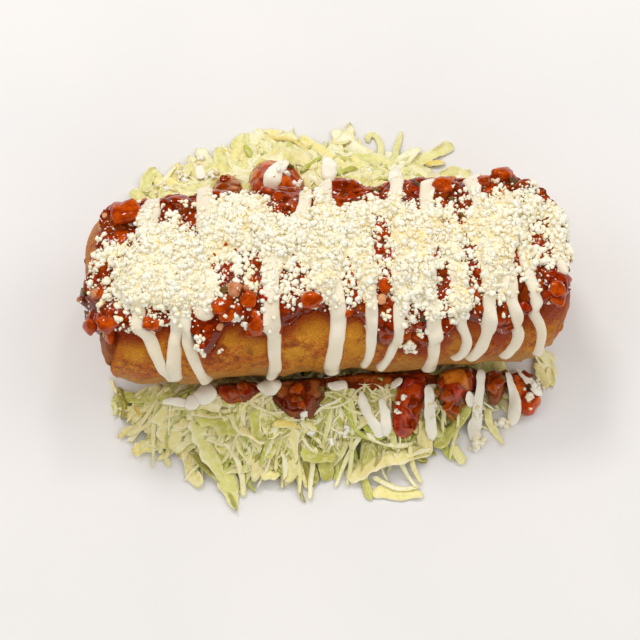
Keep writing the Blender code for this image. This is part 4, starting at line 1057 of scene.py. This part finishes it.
# the height of everything laid on the floor so far, on a grid of one millimetre
mapHalf = 110
floorX, floorY = np.mgrid[-mapHalf:mapHalf + 1, -mapHalf:mapHalf + 1].astype(float)
coreTop = np.maximum(bedTop(floorX, floorY) - bed["sunk"], 0.3)
heap = np.where(bedShare(floorX, floorY)[0] < bed["core"], coreTop, 0.2)


def onFloorMap(x, y):
    # places on the floor in cells of its map
    return (np.clip(value + mapHalf, 0, 2 * mapHalf - 0.001) for value in (x, y))


def heapAt(x, y, field=heap):
    return bilinear(field, *onFloorMap(x, y))


def raiseHeap(points):
    raiseMap(heap, *onFloorMap(points[..., 0], points[..., 1]), points[..., 2])


def leafVeins():
    # a pale rib down the middle and side veins that leave it at a slant, from the places on the leaf in mm
    group, start, end = newGroup("leafVeins", {"Vein Spacing": 3.2}, ("Rib", "Veins"))

    def maths(operation, *values):
        return addNode(group, "ShaderNodeMath", dict(enumerate(values)), operation=operation).outputs[0]

    along, across = (addNode(group, "ShaderNodeAttribute", attribute_name=name).outputs["Fac"]
                     for name in ("leafAlong", "leafAcross"))
    across = maths("ABSOLUTE", across)
    rib = maths("SUBTRACT", 1.0, maths("DIVIDE", across, 0.5))
    slant = maths("DIVIDE", maths("SUBTRACT", along, maths("MULTIPLY", across, 1.3)), start.outputs[0])
    wave = maths("ABSOLUTE", maths("SUBTRACT", maths("FRACT", slant), 0.5))
    veins = maths("SUBTRACT", 1.0, maths("DIVIDE", wave, 0.13))
    for value, socket in ((rib, end.inputs["Rib"]), (veins, end.inputs["Veins"])):
        group.links.new(addNode(group, "ShaderNodeClamp", {0: value}).outputs[0], socket)
    return group


def lettuceLook():
    white, olive = bed["tones"]["white"], bed["tones"]["olive"]
    return finish("shreddedLettuce", (9, 2.2, 0.7), "tint", (
        (white, "Blotches", 0.3, 0.5, 1.0), (olive, "Blotches", 0.15, 0.35, 0.0),
        (white, "Veins", 0.08), (white, "Rib", 0.2)),
        ("Blotches", 0.22, 0.42), (0.25, 0.5), leafVeins(), Specular_IOR_Level=0.35)


toneColours = {name: np.array(screen(*value)) for name, value in bed["tones"].items()}


def buildBed(look):
    # polar rings of a low heap with ridges of noise, and a flat underside
    core, rings = bed["core"], 120
    shares = np.concatenate([np.linspace(0.02, core, rings), np.linspace(core, 0.02, 10)])
    share, turn = np.meshgrid(shares, np.arange(0, 2 * np.pi, 2 * np.pi / 260), indexing="ij")
    reach = bedReach(np.degrees(turn)) * (0.96 + 0.04 * np.sin(turn * 23) * np.sin(turn * 7))
    x, y = share * reach * np.cos(turn), share * reach * np.sin(turn)
    place = np.stack([x, y, 0 * x], -1)
    ridges = np.abs(noise(place, 5, 131, 2)) + 0.5 * np.abs(noise(place, 2, 133))
    top = np.maximum(bedTop(x, y) - bed["sunk"] + 2.4 * (0.5 - ridges), 0.4)
    top = np.minimum(top, rollUnderside(x, y) - 2.2)
    upper = np.arange(len(shares))[:, None] < rings
    # the core is leaf green in its hollows and pale on the crests of its ridges: painted shade in the hollows
    shade = np.clip(0.9 - ridges, 0, 1)[..., None]
    far = np.full(share.shape, 9.0)
    marks = {"tint": toneColours["leaf"] * (1 - shade) + toneColours["pale"] * shade,
             "leafAlong": far, "leafAcross": far}
    rings = np.stack([x, y, np.where(upper, top, 0.05)], -1)
    addTube("lettuceHeap", rings, look, "lettuce", ("lettuce_bed",), marks)


def randomCourse(draw, length, angles, wild, outer, bends):
    # a bending line over the bed that ends at a share of the way to its outline
    angle = draw.uniform(*angles)
    ahead = np.array([np.cos(np.radians(angle)), np.sin(np.radians(angle))])
    start = ahead * (bedReach(angle) * draw.uniform(*outer) - length * draw.uniform(0.5, 1.0))
    share = np.linspace(0, 1, max(8, int(length / 1.7)))
    course = np.radians(angle + draw.uniform(-wild, wild)) + draw.uniform(-bends, bends) * (share - 0.3)
    course = course + 0.35 * bends * np.sin(share * draw.uniform(4, 9) + draw.uniform(0, 6))
    steps = np.stack([np.cos(course), np.sin(course)], -1) * length / (len(share) - 1)
    return start + np.concatenate([[[0, 0]], np.cumsum(steps[:-1], axis=0)])


def sheetLoop(spots):
    # places across a thin sheet, over its top and back along its underside, and 1, 0 or -1 for the face
    faces = np.concatenate([[0], np.ones(len(spots) - 2), [0], -np.ones(len(spots) - 2)])
    return np.concatenate([spots, spots[::-1][1:-1]])[None], faces[None]


wideSpots = np.array([-1, -0.94, -0.66, -0.33, 0, 0.33, 0.66, 0.94, 1])
narrowSpots = np.array([-1, -0.88, -0.35, 0.35, 0.88, 1])


def pieceRings(line, halfWidth, narrow, thick, above, draw, crumple, cut):
    # a closed thin sheet along the line, lying on the heap but at most so far above the bed,
    # bent by noise and by waves at its edges
    ahead, sideways = pathSides(line)
    share = np.linspace(0, 1, len(line))
    length = np.linalg.norm(np.diff(line, axis=0), axis=1).sum()
    at = share[:, None] * length
    across, over = sheetLoop(wideSpots if halfWidth > 2 else narrowSpots)
    over = over * 0.5 * thick
    base = np.max([heapAt(*(line + side * halfWidth * sideways).T) for side in (-0.7, 0, 0.7)], axis=0)
    base = np.minimum(base, bedLevel(*line.T) + above)
    base = np.convolve(np.pad(base, 3, mode="edge"), np.ones(7) / 7, "valid")
    near = np.minimum(share, 1 - share) * length / (cut * halfWidth)
    width = halfWidth * (1 - (1 - np.clip(near, 0.02, 1)) ** 2) ** 0.35 * (1 - narrow * share**1.5)
    width = width * (1 + 0.12 * np.sin(share * draw.uniform(6, 14) + draw.uniform(0, 6)))
    edgePlace = np.stack(np.broadcast_arrays(at, across * 3, draw.uniform(0, 99)), -1)
    ragged = 1 + 0.28 * noise(edgePlace, 2.4, 163)
    reach = across * width[:, None] * np.where(np.abs(across) > 0.9, ragged, 1)
    slant = draw.uniform(-0.7, 0.7) * reach * (2 * share - 1)[:, None] ** 3
    flat = line[:, None] + sideways[:, None] * reach[..., None] + ahead[:, None] * slant[..., None]
    place = np.concatenate([flat, np.full(flat.shape[:-1] + (1,), draw.uniform(0, 900))], -1)
    up = crumple * (1.0 * noise(place, 6.5, 161, 2) + 0.35 * noise(place, 2.2, 162))
    up = up + draw.uniform(-0.4, 0.8) * crumple * (1 - across**2)
    wave = np.sin(at / draw.uniform(2, 4) + across * 2 + draw.uniform(0, 6))
    up = up + crumple * 0.7 * across**2 * wave
    z = base[:, None] + 0.5 * thick + up + draw.uniform(-0.25, 0.25) * reach + over
    z = np.maximum(z, 0.12 + (over > 0) * thick)
    z = np.minimum(z, rollUnderside(flat[..., 0], flat[..., 1]) - 0.7)
    marks = {"leafAlong": np.broadcast_to(at, z.shape) + draw.uniform(0, 9), "leafAcross": reach}
    return np.concatenate([flat, z[..., None]], -1), marks, share, across


def tinted(tone, share, across, draw, edge):
    # the tone drifts to a second one along the piece, and its edges to a third
    colour, second, third = (toneColours[name] for name in (tone, *bed["drifts"][tone]))
    drift = np.sin(share[:, None] * draw.uniform(2, 7) + across * draw.uniform(-2, 2) + draw.uniform(0, 6))
    colour = colour + (second - colour) * (0.55 * (0.5 + 0.5 * drift))[..., None]
    rim = smoothStep(np.abs(across), 0.6, 1.0) * edge + 0 * share[:, None]
    return colour + (third - colour) * rim[..., None]


def addLettuce(name, pieces, look):
    # joins the pieces' rings and their marks
    points, faces = joined([closedTube(rings) for rings, _ in pieces])
    marks = {mark: np.concatenate([withEnds(marks[mark]) for _, marks in pieces]) for mark in pieces[0][1]}
    addPiece(name, points, faces, look, "lettuce", marks=marks)


def inRoom(rings):
    x, y = rings[..., 0], rings[..., 1]
    return np.abs(x).max() < 95 and y.min() > cadLow[1] / mm + 0.3 and y.max() < cadHigh[1] / mm - 0.3


def strewLettuce(look, name, count, angles, widths, lengths, thick, above, crumple, outer, wild, bends,
                 tones, seed):
    # random pieces over a range of angles, each on those before it; the hidden ones are left out
    draw = np.random.default_rng(seed)
    made = []
    while len(made) < count:
        length = draw.uniform(*lengths)
        halfWidth = 0.5 * (widths[0] + (widths[1] - widths[0]) * draw.uniform() ** 1.6)
        line = randomCourse(draw, length, angles, wild, outer, bends)
        hidden = (rollUnderside(*line.T) < 60).mean() > 0.75
        narrow = draw.uniform(0, 0.5)
        rings, marks, share, across = pieceRings(line, halfWidth, narrow, thick, above, draw, crumple, 0.6)
        if hidden or not inRoom(rings):
            continue
        raiseHeap(rings)
        tint = tinted(tones[draw.integers(len(tones))], share, across, draw, 0.6)
        made.append((rings, {"tint": tint, **marks}))
    addLettuce(name, made, look)


def layLettuce(look, name, table, thick, above, crumple, seed):
    # the pieces of a table, moved inside the part's bounds where they would pass them
    draw = np.random.default_rng(seed)
    made = []
    for width, narrow, tone, places in table:
        line = smoothPath(np.reshape(places, (-1, 2)), 1.5, 7)
        rings, marks, share, across = pieceRings(line, 0.5 * width, narrow, thick, above, draw, crumple, 0.7)
        for axis in (0, 1):
            low, high = cadLow[axis] / mm + 0.5, cadHigh[axis] / mm - 0.5
            rings[..., axis] += max(0, low - rings[..., axis].min()) - max(0, rings[..., axis].max() - high)
        raiseHeap(rings)
        made.append((rings, {"tint": tinted(tone, share, across, draw, 0.7), **marks}))
    addLettuce(name, made, look)


def buildLettuce():
    look = lettuceLook()
    buildBed(look)
    for kind in bed["under"]:
        strewLettuce(look, *kind)
    layLettuce(look, "lettuceSheets", bed["sheets"], 0.35, 2.2, 1.5, 145)
    strewLettuce(look, *bed["long"])
    layLettuce(look, "lettuceStrips", bed["strips"], 0.6, 3.0, 0.6, 146)


fallen = {
    # height, colours, and the outline seen from above
    "pieces": (
        (6.5, ((150, 38, 8), (176, 70, 18), (128, 34, 8)),
         (-49.5, -35.5, -48, -40, -44, -43, -39, -44, -34.5, -42.5, -31.5, -39, -30.5, -35.5, -35, -35.5,
          -40, -35.5, -45, -35.5)),
        (9.5, ((122, 36, 8), (156, 78, 30), (104, 28, 8), (132, 46, 12)),
         (-28, -35.5, -27.5, -40, -26, -44, -24, -48, -19, -51, -14, -52.5, -10, -51, -7, -47, -4, -42,
          -2.5, -37, -4, -35.5, -10, -35.5, -16, -35.5, -22, -35.5)),
        (8.0, ((184, 44, 6), (200, 66, 10), (160, 34, 6)),
         (27, -36.5, 25, -43, 23.5, -48, 22.5, -53, 22, -59, 24, -60.5, 27, -60.5, 30.5, -58, 33, -55,
          34, -51, 35, -47, 36.5, -43, 38, -38, 33, -36)),
        (8.0, ((214, 120, 26), (124, 58, 14), (182, 52, 10), (112, 84, 22)),
         (43, -36, 41, -41, 41, -46, 42, -49, 45, -51, 46, -54, 48, -54, 51, -50.5, 54, -47, 56, -44,
          57.5, -39, 57.5, -36, 50, -35.5)),
        (6.5, ((150, 72, 20), (156, 130, 32), (126, 46, 12)),
         (62.5, -35.5, 62.5, -39, 63, -43, 64, -46.5, 66, -48.5, 69, -46, 71, -42, 71.5, -38, 71.5, -35.5,
          67, -35.5)),
        (6.5, ((212, 70, 10), (222, 96, 18), (190, 48, 6)),
         (74, -35.5, 73.5, -40, 73.5, -45, 74.5, -50, 78, -53, 81, -53, 83.5, -50, 86, -46, 85, -43,
          82, -39, 79.5, -36)),
        (9.0, ((196, 82, 16), (168, 92, 42), (210, 98, 24)),
         (-46, 56, -45, 61, -42, 64, -38, 63, -35, 61, -33.5, 56, -33, 52, -34, 45, -39, 43, -45, 46,
          -47, 51)),
        (11.0, ((214, 74, 12), (222, 94, 18), (184, 66, 16)),
         (-29.5, 53, -29.5, 62, -26, 65, -25, 68, -21, 68, -16, 65, -12, 62, -10, 57, -8, 53, -6, 46,
          -12, 42, -20, 42, -28, 43, -29.5, 47))),
    "bits": (5, 7, 3, 5, 6, 3, 4, 5),
    "layers": (((110, 22, 4), "Blotches", 0.45, 0.45, 0.1), ((226, 130, 48), "Specks", 0.3, 0.8, 1.0)),
    "footColours": ((120, 34, 8), (150, 50, 10), (96, 40, 12), (176, 84, 22)),
    "foot": ((-2, -38), (12, -39.5), (26, -39), (40, -39.5), (56, -39.5), (72, -38.5), (84, -36)),
    # crema: points and half width
    "crema": (
        (((-52.5, -33), (-53, -38), (-54.5, -43)), (2.8, 5.4, 5.2)),
        (((-55, -39), (-59, -41), (-62, -43)), (3.6, 3.4, 2.6)),
        (((-60, -41), (-66, -40), (-72, -38)), (2.0, 1.7, 1.0)),
        (((-32, -38), (-27, -39), (-22.5, -36.5)), (3.4, 4.8, 4.0)),
        (((-3.5, -40), (1, -40), (5, -39)), (1.8, 2.2, 1.8)),
        (((10, -43), (11, -50), (14, -56), (18, -61)), (2.2, 1.8, 2.4)),
        (((17.5, -46), (19.5, -54), (18.5, -61)), (1.6, 2.2, 2.6)), (((22, -42), (27, -40)), 1.8),
        (((38, -42), (37.5, -48), (38, -54), (39, -61)), (2.2, 2.6, 2.0)),
        (((60.5, -35), (60, -41), (58.5, -49), (57, -60)), (1.9, 2.1, 2.8)),
        (((57, -47), (52.5, -48.5)), 2.4), (((56, -53), (58, -62)), 2.9),
        (((72, -35), (73.5, -43), (75, -49), (73, -56)), (1.4, 1.8, 2.2, 2.8)),
        (((77, -31), (79, -36.5), (82.5, -42), (86, -46)), (1.6, 1.9, 2.4)), (((-52, 71), (-51, 63)), 2.4),
        (((-13, 61), (-16, 56), (-20, 51), (-21, 44)), (2.6, 3.2, 3.6, 3.0)),
        (((5, 65), (4, 50)), (3.2, 3.0)), (((34, 60), (32, 47)), (2.8, 3.4)),
        (((-48, 67), (-44, 64)), 2.6)),
    # cheese: middle, reach, grains
    "cheese": (
        (2, -57, 2.6, 9), (-2, -60, 1.6, 5), (-14, -51, 1.5, 3), (-11, -56, 1.0, 2), (57, -63, 3.2, 16),
        (69, -55, 3.5, 14), (58, -50, 4.0, 6), (84, -40, 4, 5), (-70, 62, 3, 5), (-78, 55, 2, 3),
        (20, 58, 2, 3), (-62, 56, 2, 3), (38, -50, 4, 4), (27, -50, 5, 5), (-18, 52, 5, 6), (80, -47, 4, 5),
        (-52, 74, 2.5, 7), (-60, 66, 2.5, 7), (-66, 60, 2.5, 6), (-46, 62, 3, 6), (-28, 46, 4, 10),
        (-10, 47, 4, 8)),
}


def chunkTints(colours, cell, chunk, dark):
    # each lump has one of the colours, darker in the cracks round it: painted shade in the cracks
    palette = np.array([screen(*colour) for colour in colours])
    return palette[(cell * 0.999 * len(palette)).astype(int)] * (dark + (1 - dark) * chunk[..., None])


def buildFallenSalsa():
    # closed polar sheets: the outline's distance by angle, top (1 - share^2.4)^0.55, with chunks and pulp
    material = finish("fallenSalsa", (9, 2.4, 0.6), "tint", fallen["layers"],
                      ("Specks", 0.05, 0.12), (0.08, 0.25))
    upperRings = 46
    shares = np.concatenate([np.linspace(0.015, 1, upperRings), np.linspace(0.97, 0.05, 6)])
    turns = np.arange(0, 2 * np.pi, 2 * np.pi / 110)
    share, turn = np.meshgrid(shares, turns, indexing="ij")
    upper = np.arange(len(shares))[:, None] < upperRings
    for number, (height, colours, outline) in enumerate(fallen["pieces"], 1):
        corners = np.reshape(outline, (-1, 2))
        middle = corners.mean(0)
        away = corners - middle
        angle = np.arctan2(away[:, 1], away[:, 0]) % (2 * np.pi)
        order = np.argsort(angle)
        reach = np.interp(turns, angle[order], np.hypot(*away.T)[order], period=2 * np.pi)
        reach = np.mean([np.roll(reach, shift) for shift in range(-4, 5)], axis=0)
        rim = np.stack([middle[0] + reach * np.cos(turns), middle[1] + reach * np.sin(turns), 0 * reach], -1)
        reach = reach + 0.9 * noise(rim, 4, 155 + number, 2)
        x, y = middle[0] + share * reach * np.cos(turn), middle[1] + share * reach * np.sin(turn)
        level = height * np.clip(1 - share**2.4, 0, 1) ** 0.55
        place = np.stack([x, y, level], -1)
        bent = warped(place, 1.2, 3.5, 171)
        chunk, cell = blocks(bent, 6.4, 153 + number, 0.5)
        pulp, _ = domes(bent, 2.9, 175, 0.95)
        relief = 1.7 * (chunk * (0.3 + cell) - 0.4) + 0.55 * (pulp - 0.4)
        relief = (relief + 0.18 * height * noise(place, 9, 177)) * smoothStep(1 - share, 0, 0.2)
        z = bedTop(x, y) + 1.0 + np.where(upper, level + relief, 0)
        rings = np.stack([x, y, np.minimum(z, rollUnderside(x, y) - 0.5)], -1)
        marks = {"tint": chunkTints(colours, cell, chunk, 0.7)}
        stands = (f"fallen_salsa_{number}",)
        raiseHeap(addTube(f"fallenSalsa{number}", rings, material, "salsa", stands, marks))
    buildSalsaFoot(material)


def buildSalsaFoot(material):
    # sauce along the foot of the roll: a low round-topped section whose width and height vary
    line = smoothPath(fallen["foot"], 0.7, 10)
    _, sideways = pathSides(line)
    turn = np.arange(30)[None] / 30 * 2 * np.pi
    share = np.linspace(0, 1, len(line))
    width = 3.4 + 1.6 * noise(np.column_stack([line, 0 * line[:, 0]]), 8, 191, 2)
    width = np.maximum(width * np.sqrt(1 - (2 * share - 1) ** 6), 0.2)
    flat = line[:, None] + sideways[:, None] * (np.cos(turn) * width[:, None])[..., None]
    place = np.concatenate([flat, np.sin(turn)[..., None] + 0 * flat[..., :1]], -1)
    chunk, cell = blocks(place, 4.2, 192, 0.5)
    rise = np.where(np.sin(turn) > 0, np.abs(np.sin(turn)) ** 0.7 * (2.2 + 2.0 * chunk * cell), -0.3)
    x, y = flat[..., 0], flat[..., 1]
    rings = np.stack([x, y, np.minimum(bedTop(x, y) + 0.6 + rise, rollUnderside(x, y) - 0.5)], -1)
    tint = chunkTints(fallen["footColours"], cell, chunk, 0.65)
    raiseHeap(addTube("salsaFoot", rings, material, "salsa", marks={"tint": tint}))


flap = {
    "left": -5, "right": 39, "front": -34.0, "level": 23.0, "reach": 8.2, "ragged": 1.6, "wave": 0.9,
    "thick": 0.5, "brown": (176, 84, 20),
    "layers": (((128, 38, 8), "Patches"), ((206, 122, 40), "Blotches", 0.5, 0.6, 1.0),
               ((70, 26, 6), "Specks", 0.5, 0.4, 0.0)),
}


def buildFlap():
    # the crisp layer under the front: a thin wavy sheet from below the roll out to a ragged edge
    left, right = flap["left"], flap["right"]
    x = np.linspace(left, right, 110)[:, None]
    across, over = sheetLoop(np.concatenate([[0, 0.03], np.linspace(0.15, 0.85, 8), [0.97, 1]]))
    share = (x - left) / (right - left)
    reach = flap["reach"] + flap["ragged"] * noise(np.concatenate([x, 0 * x, 0 * x], 1), 7, 195, 3)[:, None]
    y = flap["front"] - across * (reach * np.sqrt(np.clip(1 - (2 * share - 1) ** 6, 0, 1)) + 0.2)
    place = np.stack(np.broadcast_arrays(x, y, 0.0), -1)
    z = flap["level"] - 1.2 * across + flap["wave"] * noise(place, 8, 196, 2) * across
    z = z + flap["thick"] * over
    z = np.minimum(z, rollUnderside(place[..., 0], y) - 1.0)
    rings = np.stack(np.broadcast_arrays(x, y, z), -1)
    look = finish("crispFlap", (10, 2.4, 0.6), flap["brown"], flap["layers"], ("Blotches", 0.2, 0.45),
                  (0.4, 0.7), Specular_IOR_Level=0.2)
    raiseHeap(addTube("crispFlap", rings, look, "fried_tortilla"))


def buildFallenBits(looks):
    # dice of tomato, onion and pepper, half sunk in the fallen salsa
    draw = np.random.default_rng(181)
    spots = [[], [], []]
    for (_, _, outline), many in zip(fallen["pieces"], fallen["bits"]):
        corners = np.reshape(outline, (-1, 2))
        middle = corners.mean(0)
        for _ in range(many):
            corner = corners[draw.integers(len(corners))]
            kind = draw.choice(3, p=(0.6, 0.2, 0.2))
            spots[kind].append(middle + (corner - middle) * draw.uniform(0, 0.85))
    kinds = (("fallenTomato", (3.6, 7.2), looks[3], 182), ("fallenOnion", (2.0, 3.8), looks[1], 183),
             ("fallenPepper", (2.4, 4.6), looks[2], 184))
    for (name, sizes, look, seed), places in zip(kinds, map(np.array, spots)):
        count = len(places)
        shapes, faces = lumpShapes(6, 7, 11, 0.75, 0.6, seed)
        size = draw.uniform(*sizes, count)[:, None] * draw.uniform(0.7, 1.2, (count, 3)) * (1, 0.85, 0.6)
        below = rollUnderside(*places.T) - 1.2 - size[:, 0] * 0.5
        centres = np.column_stack([places, np.minimum(heapAt(*places.T) - 0.25 * size[:, 2], below)])
        points, faces = scattered(shapes, faces, centres, size * 0.5, draw)
        marks = {"tone": perCopy(draw.uniform(0, 1, count), shapes)}
        addPiece(name, points, faces, look, "salsa", marks=marks)


def buildFallenCheese(look):
    # grains at a normal distance round each middle
    draw = np.random.default_rng(185)
    shapes, faces = lumpShapes(10, 5, 8, 0.9, 1.1, 186)
    middles = np.concatenate([
        (x, y) + draw.normal(size=(grains, 2)) * reach * 0.45 for x, y, reach, grains in fallen["cheese"]])
    count = len(middles)
    radius = draw.uniform(0.5, 1.35, count)
    level = np.maximum(heapAt(*middles.T) + 0.4 * radius, 1.4 * radius)
    centres = np.column_stack([middles, np.minimum(level, rollUnderside(*middles.T) - 2)])
    sizes = radius[:, None] * draw.uniform(0.75, 1.2, (count, 3))
    points, faces = scattered(shapes, faces, centres, sizes, draw)
    addPiece("fallenCheese", points, faces, look, "cheese",
             marks={"tone": perCopy(draw.uniform(0.45, 1, count), shapes)})


def buildFallenCrema(look):
    # drops and lines on the heap, their outlines shifted a little by noise
    parts = []
    base = blurred(spread(heap), 1, False)
    for seed, (points, halfWidth) in enumerate(fallen["crema"]):
        crown = 0.4 + 0.3 * np.mean(halfWidth)
        place, height = ribbonRings(points, halfWidth, (1, 1), 500 + seed * 17, 1.05, crown, 2.0)
        edge = np.concatenate([place, 0 * place[..., :1]], -1)
        place = place + 0.55 * np.stack([noise(edge, 2.6, seed, 2) for seed in (187, 189)], -1)
        z = np.maximum(heapAt(place[..., 0], place[..., 1], base) + height, 0.1)
        rings = np.concatenate([place, z[..., None]], -1)
        raiseHeap(rings)
        parts.append(closedTube(rings))
    addPiece("cremaOnLettuce", *joined(parts), look)


stageLook = {
    "floor": (238, 234, 230), "floorPatches": (232, 229, 227), "floorHalf": 1500,
    "world": (1.0, 1.0, 1.0), "worldStrength": 0.53,
    # each: name, place, size, power and whether it shows as highlights
    "lamps": (
        ("leftBox", (-0.85, 0.1, 1.15), 0.9, 3.2, False), ("rightBox", (0.9, 0.15, 1.15), 0.9, 4.3, False),
        ("key", (-0.3, 0.7, 1.15), 0.28, 4.8, True), ("fill", (0.2, -1.0, 0.8), 0.8, 1.6, False),
        ("glint", (0.35, 0.6, 1.2), 0.16, 1.6, True)),
    "cameraElevation": 72.0, "cameraAzimuth": -4.2, "cameraDistance": 650.0,
    "cameraTarget": (-4.3, -10.0, 20.0), "focal": 1564.0, "pictureWidth": 640,
}


def buildStage():
    x, y = np.meshgrid(*[np.linspace(-stageLook["floorHalf"], stageLook["floorHalf"], 41)] * 2, indexing="ij")
    points = np.stack([x, y, 0 * x - 0.6], -1).reshape(-1, 3) * mm
    ring = np.arange(x.size).reshape(x.shape)
    quads = np.stack([ring[:-1, :-1], ring[1:, :-1], ring[1:, 1:], ring[:-1, 1:]], -1).reshape(-1, 4)
    mesh = bpy.data.meshes.new("floor")
    mesh.from_pydata(points.tolist(), [], quads.tolist())
    mesh.materials.append(finish("paleFloor", (120, 30, 2), stageLook["floor"], (
        (stageLook["floorPatches"], "Patches", 0.5),), Roughness=0.6))
    floor = bpy.data.objects.new("floor", mesh)
    bpy.context.scene.collection.objects.link(floor)

    world = bpy.data.worlds.new("softRoom")
    world.use_nodes = True
    back = world.node_tree.nodes["Background"]
    back.inputs[0].default_value = (*stageLook["world"], 1)
    back.inputs[1].default_value = stageLook["worldStrength"]
    world.cycles_visibility.glossy = False
    bpy.context.scene.world = world
    for name, place, size, energy, shines in stageLook["lamps"]:
        light = bpy.data.lights.new(name, "AREA")
        light.energy, light.size = energy, size
        lamp = bpy.data.objects.new(name, light)
        lamp.location = place
        lamp.visible_glossy = shines
        lamp.rotation_euler = (-Vector(place)).to_track_quat("-Z", "Y").to_euler()
        bpy.context.scene.collection.objects.link(lamp)


def buildCamera():
    # looks down at the target from its elevation and azimuth; the focal length is in pixels of the picture
    rise, turn = np.radians(stageLook["cameraElevation"]), np.radians(stageLook["cameraAzimuth"])
    away = Vector((np.sin(turn) * np.cos(rise), -np.cos(turn) * np.cos(rise), np.sin(rise)))
    right = Vector((np.cos(turn), np.sin(turn), 0))
    camera = bpy.data.objects.new("camera", bpy.data.cameras.new("camera"))
    camera.data.sensor_width = 36
    camera.data.lens = camera.data.sensor_width * stageLook["focal"] / stageLook["pictureWidth"]
    camera.data.clip_start, camera.data.clip_end = 0.01, 20
    matrix = Matrix((right, away.cross(right), away)).transposed().to_4x4()
    matrix.translation = Vector(stageLook["cameraTarget"]) * mm + away * stageLook["cameraDistance"] * mm
    camera.matrix_world = matrix
    bpy.context.scene.collection.objects.link(camera)
    bpy.context.scene.camera = camera
    bpy.context.scene.view_settings.view_transform = "Standard"


buildStage()
buildCamera()
buildTortilla()
buildSalsa()
salsaMaterials = [finish(*look, **settings) for *look, settings in salsa["looks"]]
for look, kind in zip(salsaMaterials, salsa["chunks"]):
    buildChunks(look, *kind)
buildRibbons(cremaLook("crema", crema["white"], crema["warm"]))
cheeseMaterial = cheeseLook()
buildCheese(cheeseMaterial)
buildCrumbs(cheeseMaterial)
buildLettuce()
buildFallenSalsa()
buildFlap()
buildFallenBits(salsaMaterials)
# the crema on the lettuce gets a lighter copy of the crema's look: painted light in the roll's shadow
buildFallenCrema(cremaLook("cremaOnLettuce", crema["light"], crema["white"]))
buildFallenCheese(cheeseMaterial)
